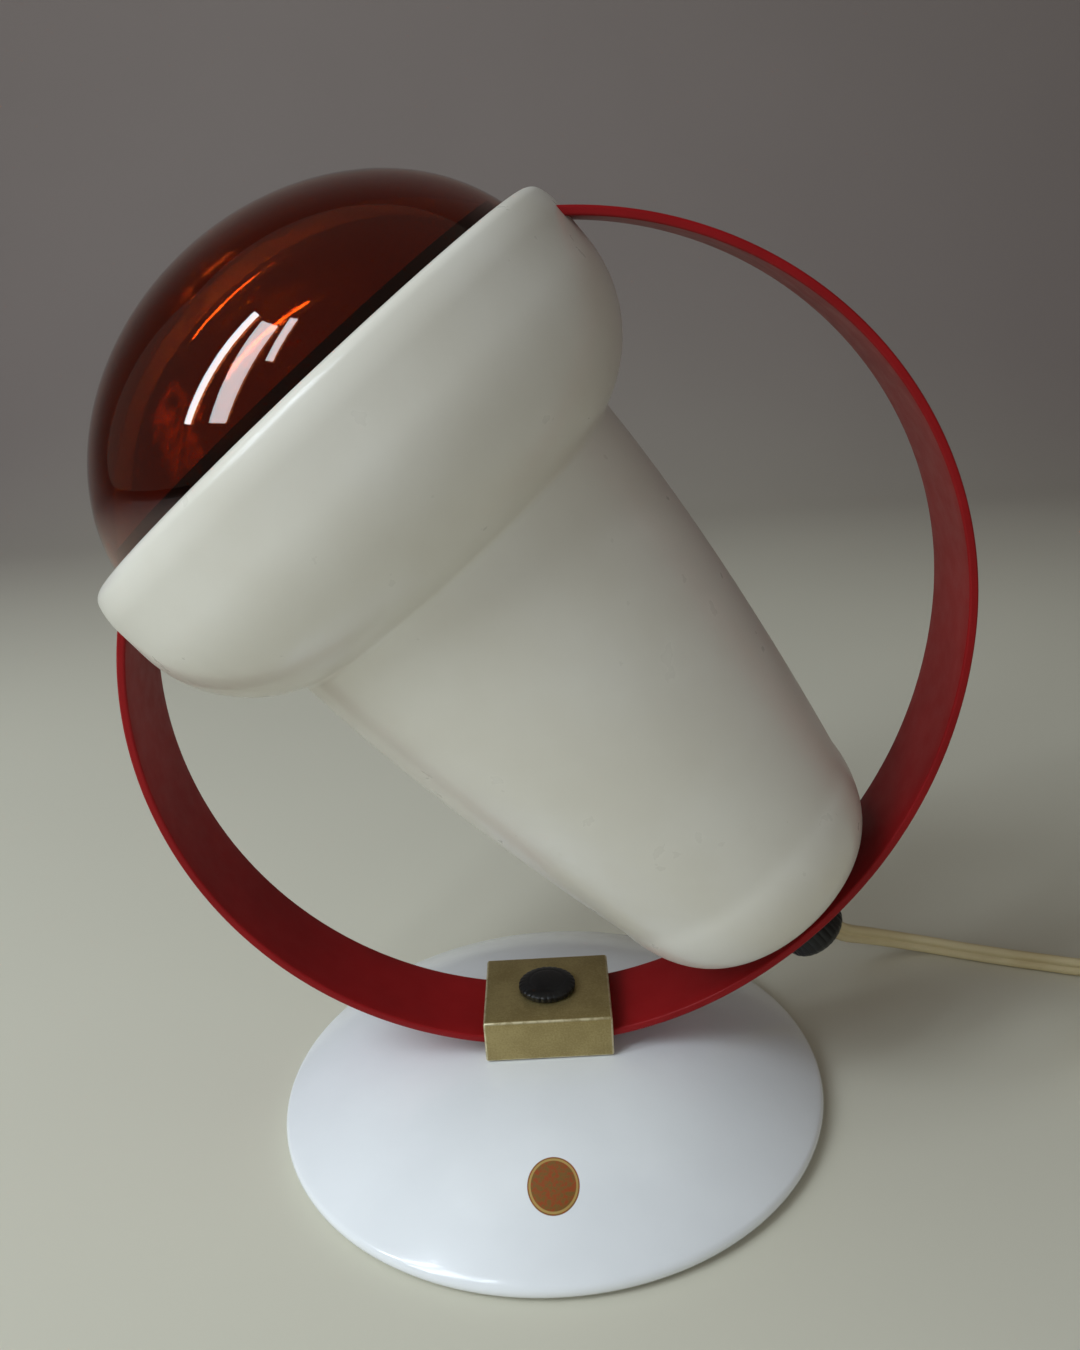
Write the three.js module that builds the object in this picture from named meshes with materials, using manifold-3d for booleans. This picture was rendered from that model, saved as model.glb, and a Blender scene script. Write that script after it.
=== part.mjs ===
// Infrared heat therapy lamp. A red steel hoop runs through a clamp block on a white base and
// carries a cream shade with a red reflector bulb. Millimetres, +Z up. The origin lies under the
// middle of the base, on the surface that the lamp stands on. The hoop lies in the plane y = 0.

import * as THREE from 'three';
import { mergeVertices } from 'three/addons/utils/BufferGeometryUtils.js';
import Module from 'manifold-3d';

const wasm = await Module();
wasm.setup();

// Clearances
const seatGap = 0.3; // a piece to what carries it
const slideGap = 0.35; // the hoop in the block's slot, and its tongues in the bell
const threadFit = 0.3; // a screw or stud in its hole
const cutOverrun = 3; // how far a cutter runs past what it cuts

// Base
const baseRadius = 74;
const baseHeight = 20.2;
const baseWall = 1.5;
const baseEdgeRound = 2.2;
const baseEdgeLift = 0.7;
const baseLipReach = 1.1;
const baseFlatRadius = 20;
const padThickness = 2.2;
const padFit = 0.5;

// Screws that hold the block on the base
const blockScrewSpread = 10;
const blockScrewRadius = 2;
const blockScrewHeadRadius = 3.6;
const blockScrewHeadHeight = 2.8;
const blockScrewSeatHeight = 11.5;
const blockScrewGrip = 2;
const blockWasherRadius = 4.8;
const blockWasherThickness = 1;
const washerRoom = 0.5;

// Clamp block
const blockLength = 34;
const blockWidth = 30;
const blockHeight = 11.8;
const blockFloor = 2.75;
const blockEdge = 0.5;
const blockCornerRound = 0.8;
const shoeRadius = 4;
const shoeThickness = 1.5;

// Clamp knob and its stud
const clampKnobRadius = 7.7;
const clampKnobSide = 1.1;
const clampKnobRise = 1.5;
const knobCrown = 1.2; // wall between a stud's tip and the knob's crown
const studRadius = 3;
const knobRibDepth = 0.4;
const knobRibs = 16;

// Hoop: three arcs that run into each other, outer radii
const hoopWidth = 26.3;
const hoopThickness = 2.12;
const slideArcRadius = 96.85;
const backArcRadius = 115.88;
const topArcRadius = 94.36;
const slideArcEnd = -59.04; // degrees, where the back arc takes over
const backArcEnd = -2.96; // degrees, where the top arc takes over
const tongueWidth = 12;
const tongueReach = 3.6;

// Shade: a bell with a rolled mouth, and a long cone with a round end
const shadeWall = 1.2;
const shadeLean = 51.73; // degrees below level, from the mouth to the rear knob
const shadeSeatAngle = -47.45; // degrees on the back arc, where the shade is held
const bellRadius = 68.5;
const bellStraight = 16.5;
const mouthRadius = 67.6;
const mouthRound = 1.8;
const mouthTaperLength = 10;
const shoulderRound = 31.5;
const creaseRadius = 48.3;
const collarLength = 11;
const collarFit = 0.6;
const coneFrontRadius = 48.4;
const coneTaper = 12;
const coneTaperPower = 1.57;
const coneEndLength = 25.9;
const coneEndAxisPower = 1.77;
const coneEndSidePower = 4.36;

// What holds the shade on the hoop
const spacerLength = 5.39;
const spacerRadius = 8;
const saddleRadius = 6.5;
const saddleThickness = 2.6;
const rearKnobRadius = 8.75;
const rearKnobSkirt = 2;
const rearKnobSide = 5.4;
const rearKnobRise = 4.2;
const nutRadius = 5.6;
const nutHeight = 3.2;
const studInnerEnd = 1.6; // how far the stud stands out of its nut, inside

// Bulb
const bulbRadius = 61.35;
const bulbDomeDepth = 49.9;
const bulbWidestDepth = 10.7; // from the mouth's plane to the widest place
const reflectorLength = 89.3;
const reflectorShares = [[0.981, 0.082], [0.861, 0.2385], [0.6585, 0.4177], [0.4613, 0.664], [0.3178, 1]];
const glassWall = 1.1;
const mirrorThickness = 0.5;
const neckTurnLength = 6.9;
const neckTubeLength = 6;
const capStartGap = 0.6;
const capLength = 26.5;
const capCrestRadius = 13.1;
const capThreadDepth = 0.6;
const capWall = 0.4;
const capThreads = 4;
const capMouthRadius = 5.2;
const capInsulatorRadius = 8.6;
const capInsulatorHeight = 1.9;
const capContactRadius = 4;
const capContactHeight = 0.8;
const stemLength = 32;
const stemFlareLength = 6.4;
const stemTopRadius = 4.4;
const wireRadius = 0.6;
const wireLength = 30;
const wireSpreadFoot = 2.6;
const wireSpreadTop = 11;
const filamentBow = 6;
const filamentRadius = 0.8;

// Lamp holder
const holderRadius = 20;
const holderWall = 5;
const holderFloor = 8.7;
const holderFrontGap = 1.5;
const sleeveWall = 0.9;
const sleeveFit = 0.5;
const contactThickness = 0.7;
const contactWidth = 6;
const contactReach = 5;
const contactFoot = 5;
const contactHeight = 3.4;
const bracketThickness = 1.5;
const bracketWidth = 12;
const bracketHalfSpan = 14;
const bracketFootReach = 8.5;
const bracketDepth = 22.2; // from the holder's back to the bracket's back
const bracketEndGap = 0.8; // between the bracket and the crown of the cone's end
const smallScrewRadius = 1.6;
const smallScrewHeadRadius = 2.8;
const smallScrewHeadHeight = 2;
const smallScrewGrip = 6.5;
const bracketScrewSpread = 9;
const terminalSpread = 10;
const leadRadius = 0.9;
const leadSpread = 1.5;

// Strain relief, on the far side of the cone's end
const reliefOffset = 24; // from the shade's axis
const reliefBaseRadius = 5.3;
const reliefTipRadius = 3.7;
const reliefLength = 26;
const reliefFlangeRadius = 6.2;
const reliefFlangeThickness = 1.6;
const reliefNeckRadius = 4.2;

// Cord: a flat twin cord, laid with its wide side upright
const cordWidth = 5.8;
const cordThickness = 2.9;
const cordRoute = [
  [80.4, 37.9, 34.6], [83.8, 41.4, 27], [88, 45.6, 19.5], [93.6, 50, 13], [103.4, 55, 7.9],
  [113.4, 56.6, 4.7], [123.2, 55.4, 3], [131.6, 51.7, 2.95], [139.9, 48.2, 2.95], [148.1, 44.9, 2.95],
  [156.3, 41.9, 2.95], [164.4, 38.9, 2.95], [175, 37.4, 3],
]; // between the strain relief and the coil
const cordDropPoints = 6; // how many of these points hang, before the cord lies

// Coil of the length that is put away
const coilCentre = [196, -6];
const coilMeanRadius = 34;
const coilTurns = 7.2083;
const coilStartAngle = 75; // degrees
const coilTurnGap = 0.7;
const coilLayerGap = 0.9;
const coilLift = 0.95;
const coilClimbShare = 0.5; // of a turn
const tieWidth = 8;
const tieThickness = 0.6;
const tieRoom = 0.8;
const tieAngle = 215; // degrees
const tieCornerRound = 1.5;

// Plug
const plugTailLength = 33; // cord between the coil and the plug
const plugDrift = 3.5;
const plugLength = 36;
const plugWidth = 35.3;
const plugRearWidth = 13;
const plugFaceWidth = 27;
const plugThickness = 13.4;
const plugRearSlope = 15;
const plugFaceSlope = 9;
const plugRound = 2.6;
const plugReliefLength = 12;
const plugReliefRadius = 4.6;
const plugReliefTip = 3.6;
const pinRadius = 2;
const pinLength = 19;
const pinSpread = 9.3;
const pinTipRound = 1;

// Counts
const largeSides = 32;
const mediumSides = 24;
const smallSides = 14;
const cordStepLength = 7;
const coilStepsPerTurn = 24;

const degrees = Math.PI / 180;
const quarterTurn = 90;

// Closed solids from geometries, and back
function solidOf(geometry) {
  const bare = geometry.clone();
  bare.deleteAttribute('normal');
  bare.deleteAttribute('uv');
  const merged = mergeVertices(bare);
  const corners = merged.index.array;
  const triangles = [];
  for (let i = 0; i < corners.length; i += 3) {
    const [a, b, c] = corners.slice(i, i + 3);
    if (a !== b && b !== c && c !== a) triangles.push(a, b, c);
  }
  const vertProperties = new Float32Array(merged.attributes.position.array);
  const triVerts = new Uint32Array(triangles);
  return new wasm.Manifold(new wasm.Mesh({ numProp: 3, vertProperties, triVerts }));
}

function geometryOf(solid) {
  const mesh = solid.getMesh();
  const geometry = new THREE.BufferGeometry();
  geometry.setAttribute('position', new THREE.BufferAttribute(new Float32Array(mesh.vertProperties), 3));
  geometry.setIndex(new THREE.BufferAttribute(new Uint32Array(mesh.triVerts), 1));
  return geometry;
}

function cut(geometry, ...cutters) {
  return geometryOf(cutters.reduce((solid, cutter) => solid.subtract(solidOf(cutter)), solidOf(geometry)));
}

function join(geometry, ...others) {
  return geometryOf(others.reduce((solid, other) => solid.add(solidOf(other)), solidOf(geometry)));
}

function within(geometry, envelope) {
  return geometryOf(solidOf(geometry).intersect(solidOf(envelope)));
}

// A closed outline of [radius, height] points turned round +Z
function turned(outline, sides = smallSides) {
  const points = outline.map(([radius, height]) => new THREE.Vector2(radius, height));
  if (THREE.ShapeUtils.isClockWise(points)) points.reverse();
  points.push(points[0].clone());
  return new THREE.LatheGeometry(points, sides).rotateX(Math.PI / 2);
}

function disc(radius, from, to, sides = smallSides) {
  return turned([[0, from], [radius, from], [radius, to], [0, to]], sides);
}

function ring(inner, outer, from, to, sides = smallSides) {
  return turned([[inner, from], [outer, from], [outer, to], [inner, to]], sides);
}

function arcLine(centre, radius, from, to, steps) {
  const line = [];
  for (let i = 0; i <= steps; i += 1) {
    const angle = (from + (to - from) * i / steps) * degrees;
    line.push([centre[0] + radius * Math.cos(angle), centre[1] + radius * Math.sin(angle)]);
  }
  return line;
}

// A line of [radius, height] points moved to the right of its own direction
function shifted(line, distance) {
  return line.map((point, i) => {
    const before = line[Math.max(i - 1, 0)];
    const after = line[Math.min(i + 1, line.length - 1)];
    const run = Math.hypot(after[0] - before[0], after[1] - before[1]);
    return [
      point[0] + distance * (after[1] - before[1]) / run,
      point[1] - distance * (after[0] - before[0]) / run,
    ];
  });
}

function shapeOf(corners) {
  return new THREE.Shape(corners.map(([x, y]) => new THREE.Vector2(x, y)));
}

// A shape drawn in the plane y = 0 as [x, z], made thick on both sides of it
function acrossPlane(shape, width, curveSegments = 1) {
  const geometry = new THREE.ExtrudeGeometry(shape, { depth: width, bevelEnabled: false, curveSegments });
  return geometry.rotateX(Math.PI / 2).translate(0, width / 2, 0);
}

function roundTube(path, radius, sides, steps) {
  const section = shapeOf(arcLine([0, 0], radius, 0, 360, sides).slice(1));
  return new THREE.ExtrudeGeometry(section, { steps, extrudePath: path, bevelEnabled: false });
}

function smoothPath(points) {
  const knots = points.map((point) => new THREE.Vector3(...point));
  return new THREE.CatmullRomCurve3(knots, false, 'catmullrom');
}

function finish(color, roughness, metalness = 0) {
  return new THREE.MeshStandardMaterial({ color, roughness, metalness });
}

function addPiece(parent, name, geometry, material) {
  const mesh = new THREE.Mesh(geometryOf(solidOf(geometry)), material);
  mesh.name = name;
  parent.add(mesh);
  return mesh;
}

// Finishes
const whiteEnamel = finish(0xd9dcdf, 0.22);
const creamEnamel = finish(0xd2d2c4, 0.35);
const redEnamel = finish(0xa02226, 0.38);
const castIron = finish(0x3a3a3c, 0.8, 0.4);
const blackRubber = finish(0x222222, 0.85);
const zincSteel = finish(0x9a9c9e, 0.4, 0.9);
const satinGold = finish(0xa4925c, 0.45, 0.8);
const blackPlastic = finish(0x121314, 0.4);
const redGlass = finish(0x6a0d0f, 0.08);
const silvering = finish(0xc9c6c0, 0.12, 0.95);
const brass = finish(0xb8923f, 0.35, 0.9);
const porcelain = finish(0xe9e6dc, 0.3);
const clearGlass = finish(0xd8dcd8, 0.1);
const tungsten = finish(0x6a6660, 0.5, 0.8);
const creamPlastic = finish(0xcdbf92, 0.55);
const blueLead = finish(0x2c4f8c, 0.5);
const brownLead = finish(0x5c3a22, 0.5);
const nickelPlate = finish(0xbfc0c0, 0.25, 0.95);

// Places that several pieces share
const blockBottom = baseHeight + seatGap;
const blockTop = blockBottom + blockHeight;
const slideCentre = [0, blockBottom + blockFloor + slideGap + slideArcRadius];
const backCentre = [
  slideCentre[0] + (slideArcRadius - backArcRadius) * Math.cos(slideArcEnd * degrees),
  slideCentre[1] + (slideArcRadius - backArcRadius) * Math.sin(slideArcEnd * degrees),
];
const topCentre = [
  backCentre[0] + (backArcRadius - topArcRadius) * Math.cos(backArcEnd * degrees),
  backCentre[1] + (backArcRadius - topArcRadius) * Math.sin(backArcEnd * degrees),
];
const neckBack = bulbWidestDepth + reflectorLength + neckTurnLength;
const capStart = neckBack + capStartGap;
const capEnd = capStart + capLength;
const holderFront = capStart + holderFrontGap;
const capTip = capEnd + 2 * seatGap + capInsulatorHeight + capContactHeight;
const holderFloorTop = capTip + contactHeight + 2 * seatGap;
const holderBack = holderFloorTop + holderFloor;
const bracketBack = holderBack + bracketDepth;
const shadeLength = bracketBack + bracketEndGap + shadeWall;
const studHole = studRadius + threadFit;
const bellWidestRadius = bellRadius - shoulderRound;
const shoulderTurn = Math.acos((creaseRadius - bellWidestRadius) / shoulderRound) / degrees;
const creaseDepth = bellStraight + shoulderRound * Math.sin(shoulderTurn * degrees);
const coneFront = creaseDepth + seatGap;
const coneRoundStart = shadeLength - coneEndLength;
const coneLength = coneRoundStart - coneFront;
const coneBackRadius = coneFrontRadius - coneTaper;
const shadeAxis = [Math.cos(shadeLean * degrees), -Math.sin(shadeLean * degrees)];
const hoopSeatDepth = shadeLength + spacerLength;
const hoopSeat = [
  backCentre[0] + (backArcRadius - hoopThickness) * Math.cos(shadeSeatAngle * degrees),
  backCentre[1] + (backArcRadius - hoopThickness) * Math.sin(shadeSeatAngle * degrees),
];
const mouthCentre = [
  hoopSeat[0] - shadeAxis[0] * hoopSeatDepth,
  hoopSeat[1] - shadeAxis[1] * hoopSeatDepth,
];

// The shade's own frame: +Z runs from the middle of the mouth to the rear knob
function placeOnShade(object) {
  object.position.set(mouthCentre[0], 0, mouthCentre[1]);
  object.rotation.y = (quarterTurn + shadeLean) * degrees;
  object.updateMatrix();
  return object;
}

const shadeMatrix = placeOnShade(new THREE.Group()).matrix;

function fromShade(geometry) {
  return geometry.clone().applyMatrix4(shadeMatrix);
}

function toShade(geometry) {
  return geometry.clone().applyMatrix4(shadeMatrix.clone().invert());
}

// Base shell: a flat middle, a dome that falls off as a parabola, and an edge rolled under
function domeLine(inset) {
  const edgeCentre = [baseRadius - baseEdgeRound, baseEdgeLift + baseEdgeRound];
  const slope = 2 * (baseHeight - edgeCentre[1]) / (edgeCentre[0] - baseFlatRadius);
  const edgeTurn = quarterTurn - Math.atan(slope) / degrees;
  const foot = [
    edgeCentre[0] + baseEdgeRound * Math.cos(edgeTurn * degrees),
    edgeCentre[1] + baseEdgeRound * Math.sin(edgeTurn * degrees),
  ];
  const dome = [];
  const steps = 7;
  for (let i = 0; i <= steps; i += 1) {
    const share = i / steps;
    const radius = baseFlatRadius + (foot[0] - baseFlatRadius) * share;
    dome.push([radius, foot[1] + (baseHeight - foot[1]) * (1 - share * share)]);
  }
  const edge = arcLine(edgeCentre, baseEdgeRound - inset, edgeTurn, -quarterTurn, 4);
  return { dome: shifted(dome, inset), edge: edge.slice(1), edgeCentre };
}

function baseShell() {
  const outer = domeLine(0);
  const inner = domeLine(baseWall);
  const lipRadius = outer.edgeCentre[0] - baseLipReach;
  const lipTop = baseEdgeLift + baseWall;
  const outside = [[0, baseHeight], ...outer.dome, ...outer.edge, [lipRadius, baseEdgeLift]];
  const inside = [[0, baseHeight - baseWall], ...inner.dome, ...inner.edge, [lipRadius, lipTop]];
  return cut(turned([...outside, ...inside.reverse()], largeSides), ...blockScrewHoles());
}

const padRadius = baseRadius - baseEdgeRound - baseLipReach - padFit;
const weightBottom = padThickness + seatGap;

function blockScrewHoles() {
  const radius = blockScrewRadius + threadFit;
  const top = blockBottom + blockScrewGrip + threadFit;
  return [-1, 1].map((side) => disc(radius, 0, top).translate(side * blockScrewSpread, 0, 0));
}

function baseWeight() {
  const top = domeLine(baseWall + seatGap).dome.filter(([radius]) => radius < padRadius);
  const last = top[top.length - 1];
  const next = domeLine(baseWall + seatGap).dome[top.length];
  const share = (padRadius - last[0]) / (next[0] - last[0]);
  const rimTop = last[1] + (next[1] - last[1]) * share;
  const outline = [[0, weightBottom], [padRadius, weightBottom], [padRadius, rimTop], ...top.reverse()];
  outline.push([0, baseHeight - baseWall - seatGap]);
  const wells = [-1, 1].map((side) => (
    disc(blockWasherRadius + washerRoom, 0, blockScrewSeatHeight).translate(side * blockScrewSpread, 0, 0)
  ));
  return cut(turned(outline, largeSides), ...blockScrewHoles(), ...wells);
}

function blockScrew() {
  const headTop = blockScrewSeatHeight - blockWasherThickness - 2 * seatGap;
  const headBottom = headTop - blockScrewHeadHeight;
  const tip = blockBottom + blockScrewGrip;
  return turned([
    [0, headBottom], [blockScrewHeadRadius, headBottom], [blockScrewHeadRadius, headTop],
    [blockScrewRadius, headTop], [blockScrewRadius, tip], [0, tip],
  ], smallSides);
}

function blockWasher() {
  const top = blockScrewSeatHeight - seatGap;
  return ring(blockScrewRadius + threadFit, blockWasherRadius, top - blockWasherThickness, top);
}

// The hoop's band: its three arcs, made thicker or thinner by the two amounts
function bandShape(startAngle, endAngle, growOut, growIn) {
  const arcs = [
    [slideCentre, slideArcRadius, startAngle, 360 + slideArcEnd],
    [backCentre, backArcRadius, slideArcEnd, backArcEnd],
    [topCentre, topArcRadius, backArcEnd, endAngle],
  ];
  const shape = new THREE.Shape();
  for (const [centre, radius, from, to] of arcs) {
    shape.absarc(...centre, radius + growOut, from * degrees, to * degrees, false);
  }
  for (const [centre, radius, from, to] of arcs.reverse()) {
    shape.absarc(...centre, radius - hoopThickness - growIn, to * degrees, from * degrees, true);
  }
  return shape;
}

// The arc of one circle as a flat ring sector
function sectorShape(centre, inner, outer, from, to) {
  const shape = new THREE.Shape();
  shape.absarc(...centre, outer, from * degrees, to * degrees, false);
  shape.absarc(...centre, inner, to * degrees, from * degrees, true);
  return shape;
}

// Clamp block
function clampBlock() {
  const halfLength = blockLength / 2 - blockCornerRound;
  const halfWidth = blockWidth / 2 - blockCornerRound;
  const outline = new THREE.Shape();
  [[1, 1], [-1, 1], [-1, -1], [1, -1]].forEach(([sideX, sideY], turns) => {
    const from = turns * quarterTurn * degrees;
    const to = from + quarterTurn * degrees;
    outline.absarc(sideX * halfLength, sideY * halfWidth, blockCornerRound, from, to, false);
  });
  const body = new THREE.ExtrudeGeometry(outline, {
    depth: blockHeight - 2 * blockEdge,
    bevelThickness: blockEdge,
    bevelSize: blockEdge,
    bevelOffset: -blockEdge,
    bevelSegments: 1,
    curveSegments: 1,
  }).translate(0, 0, blockBottom + blockEdge);
  const slotHalfAngle = Math.asin((blockLength / 2 + cutOverrun) / slideArcRadius) / degrees;
  const slotInner = slideArcRadius - hoopThickness - slideGap;
  const slotOuter = slideArcRadius + slideGap;
  const slot = sectorShape(slideCentre, slotInner, slotOuter, 270 - slotHalfAngle, 270 + slotHalfAngle);
  const shoeRoof = shoeBottom() + shoeThickness + seatGap;
  const studBore = disc(studHole, blockBottom + blockFloor, blockTop + cutOverrun);
  const shoeBore = disc(shoeRadius + seatGap, blockBottom + blockFloor, shoeRoof, mediumSides);
  return cut(
    body, acrossPlane(slot, hoopWidth + 2 * slideGap, 7), studBore, shoeBore, ...blockScrewHoles(),
  );
}

function shoeBottom() {
  return slideCentre[1] - slideArcRadius + hoopThickness + slideGap;
}

function clampShoe() {
  return disc(shoeRadius, shoeBottom(), shoeBottom() + shoeThickness, mediumSides);
}

// A round knob with ribs: a straight side and a crown that is part of an ellipse
function ribbedKnob(outline) {
  const geometry = turned(outline, 2 * knobRibs);
  const position = geometry.attributes.position;
  const widest = Math.max(...outline.map(([radius]) => radius));
  for (let i = 0; i < position.count; i += 1) {
    const radius = Math.hypot(position.getX(i), position.getY(i));
    const angle = Math.atan2(position.getY(i), position.getX(i));
    const share = Math.max(0, 2 * radius / widest - 1);
    const depth = knobRibDepth * share * (0.5 - 0.5 * Math.cos(knobRibs * angle));
    const scale = radius > 0 ? 1 - depth / radius : 1;
    position.setX(i, position.getX(i) * scale);
    position.setY(i, position.getY(i) * scale);
  }
  return geometry;
}

function crownLine(radius, from, rise) {
  return arcLine([0, 0], 1, 0, quarterTurn, 4).map(([x, y]) => [radius * x, from + rise * y]);
}

function clampKnob() {
  const bottom = blockTop + seatGap;
  const crownStart = bottom + clampKnobSide;
  const crown = crownLine(clampKnobRadius, crownStart, clampKnobRise);
  const knob = ribbedKnob([[0, bottom], [clampKnobRadius, bottom], ...crown]);
  return cut(knob, disc(studHole, bottom - cutOverrun, clampStudTop() + seatGap));
}

function clampStudTop() {
  return blockTop + seatGap + clampKnobSide + clampKnobRise - knobCrown;
}

function clampStud() {
  return disc(studRadius, shoeBottom() + shoeThickness + seatGap, clampStudTop());
}

// Shade outlines, as [radius, depth] from the mouth
function bellOuterLine() {
  const roll = arcLine([mouthRadius - mouthRound, mouthRound], mouthRound, -quarterTurn, 0, 3);
  const shoulder = arcLine([bellWidestRadius, bellStraight], shoulderRound, 0, shoulderTurn, 7);
  return [...roll, [bellRadius, mouthTaperLength], ...shoulder];
}

function shadeBell() {
  const outer = bellOuterLine();
  const inner = shifted(outer, -shadeWall);
  inner[0] = [outer[0][0], outer[0][1] + shadeWall];
  inner.pop();
  const collarRadius = coneFrontRadius - shadeWall - collarFit;
  const collarEnd = creaseDepth + collarLength;
  const outline = [
    ...outer, [collarRadius, creaseDepth], [collarRadius, collarEnd], [collarRadius - shadeWall, collarEnd],
    [collarRadius - shadeWall, creaseDepth - shadeWall], ...inner.reverse(),
  ];
  return cut(turned(outline, largeSides), ...tongues(slideGap).map(toShade));
}

function coneOuterLine(endRadius) {
  const line = [];
  const sideSteps = 5;
  for (let i = 0; i < sideSteps; i += 1) {
    const share = i / sideSteps;
    line.push([coneFrontRadius - coneTaper * share ** coneTaperPower, coneFront + coneLength * share]);
  }
  const endSteps = 8;
  for (let i = 0; i < endSteps; i += 1) line.push(coneEndPoint(quarterTurn * i / endSteps));
  line.push([endRadius, shadeLength]);
  return line;
}

function coneEndPoint(turn) {
  const alongShare = Math.sin(turn * degrees) ** (2 / coneEndAxisPower);
  const sideShare = Math.cos(turn * degrees) ** (2 / coneEndSidePower);
  return [coneBackRadius * sideShare, coneRoundStart + coneEndLength * alongShare];
}

function shadeCone() {
  const outer = coneOuterLine(studHole);
  const inner = shifted(outer, -shadeWall);
  return cut(turned([...outer, ...inner.reverse()], largeSides), reliefHole());
}

// The space that the cone takes up, grown or shrunk all over
function coneEnvelope(growth) {
  const line = shifted(coneOuterLine(studHole), growth);
  return turned([[0, line[0][1]], ...line, [0, line[line.length - 1][1]]], largeSides);
}

function bellEnvelope(growth) {
  const line = shifted(bellOuterLine(), growth);
  const front = [[0, -cutOverrun], [line[0][0], -cutOverrun]];
  return turned([...front, ...line, [0, line[line.length - 1][1]]], largeSides);
}

// Angles at which the hoop's middle line goes through the bell's outside
function bellOutsideRadius(depth) {
  const line = bellOuterLine();
  const i = Math.max(1, line.findIndex((point) => point[1] >= depth));
  const share = (depth - line[i - 1][1]) / (line[i][1] - line[i - 1][1]);
  return line[i - 1][0] + (line[i][0] - line[i - 1][0]) * share;
}

function outsideBell(centre, radius, angle) {
  const x = centre[0] + radius * Math.cos(angle * degrees) - mouthCentre[0];
  const z = centre[1] + radius * Math.sin(angle * degrees) - mouthCentre[1];
  const depth = x * shadeAxis[0] + z * shadeAxis[1];
  const offAxis = Math.abs(x * shadeAxis[1] - z * shadeAxis[0]);
  return offAxis > bellOutsideRadius(Math.min(Math.max(depth, 0), creaseDepth));
}

function crossingAngle(centre, outerRadius, outsideAngle, insideAngle) {
  const radius = outerRadius - hoopThickness / 2;
  let [outside, inside] = [outsideAngle, insideAngle];
  for (let i = 0; i < 30; i += 1) {
    const middle = (outside + inside) / 2;
    if (outsideBell(centre, radius, middle)) outside = middle;
    else inside = middle;
  }
  return outside;
}

const leftCrossing = crossingAngle(slideCentre, slideArcRadius, 200, 140);
const topCrossing = crossingAngle(topCentre, topArcRadius, 60, 110);

// The two tongues at the hoop's ends, which spring into slots in the bell
function tongues(growth) {
  const width = tongueWidth + 2 * growth;
  const tip = (radius) => (tongueReach + growth) / radius / degrees;
  const root = (radius) => (tongueReach + cutOverrun) / radius / degrees;
  const sectors = [
    [slideCentre, slideArcRadius, leftCrossing - tip(slideArcRadius), leftCrossing + root(slideArcRadius)],
    [topCentre, topArcRadius, topCrossing - root(topArcRadius), topCrossing + tip(topArcRadius)],
  ];
  return sectors.map(([centre, radius, from, to]) => acrossPlane(
    sectorShape(centre, radius - hoopThickness - growth, radius + growth, from, to), width, 3,
  ));
}

function hoopBand() {
  const past = (cutOverrun / slideArcRadius) / degrees;
  const band = acrossPlane(bandShape(leftCrossing - past, topCrossing + past, 0, 0), hoopWidth, 11);
  const shoulders = cut(band, fromShade(bellEnvelope(seatGap)));
  const studBore = disc(studHole, shadeLength, rearStudEnd());
  return cut(join(shoulders, ...tongues(0)), fromShade(studBore));
}

// The room that the band takes near the shade's seat, for pieces that are shaped to it
function bandRoom(growOut, growIn) {
  const inner = backArcRadius - hoopThickness - growIn;
  const half = (spacerRadius + 2 * cutOverrun) / backArcRadius / degrees;
  const from = shadeSeatAngle - half;
  const to = shadeSeatAngle + half;
  const sector = sectorShape(backCentre, inner, backArcRadius + growOut, from, to);
  return toShade(acrossPlane(sector, hoopWidth, 14));
}

function shadeSpacer() {
  const start = shadeLength + seatGap;
  const tube = ring(studHole, spacerRadius, start, hoopSeatDepth + cutOverrun, mediumSides);
  return cut(tube, bandRoom(4 * cutOverrun, seatGap));
}

function saddleWasher() {
  const top = hoopSeatDepth + hoopThickness + saddleThickness;
  const washer = ring(studHole, saddleRadius, hoopSeatDepth, top, mediumSides);
  return cut(washer, bandRoom(seatGap, 4 * cutOverrun));
}

function rearKnob() {
  const recess = hoopSeatDepth + hoopThickness + saddleThickness + seatGap;
  const bottom = recess - rearKnobSkirt;
  const crownStart = bottom + rearKnobSide;
  const crown = crownLine(rearKnobRadius, crownStart, rearKnobRise);
  const knob = ribbedKnob([[0, bottom], [rearKnobRadius, bottom], ...crown]);
  const washerRecess = disc(saddleRadius + seatGap, bottom - cutOverrun, recess, mediumSides);
  return cut(knob, washerRecess, disc(studHole, bottom - cutOverrun, rearStudEnd() + seatGap));
}

function rearStudEnd() {
  const skirtBottom = hoopSeatDepth + hoopThickness + saddleThickness + seatGap - rearKnobSkirt;
  return skirtBottom + rearKnobSide + rearKnobRise - knobCrown;
}

// Bracket, nut and stud at the shade's end
const bracketFront = bracketBack - bracketThickness;
const nutBack = bracketFront - seatGap;

function shadeStud() {
  return disc(studRadius, nutBack - nutHeight - studInnerEnd, rearStudEnd());
}

function studNut() {
  const hexagon = disc(nutRadius, nutBack - nutHeight, nutBack, 6);
  return cut(hexagon, disc(studHole, nutBack - nutHeight - cutOverrun, nutBack + cutOverrun));
}

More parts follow.
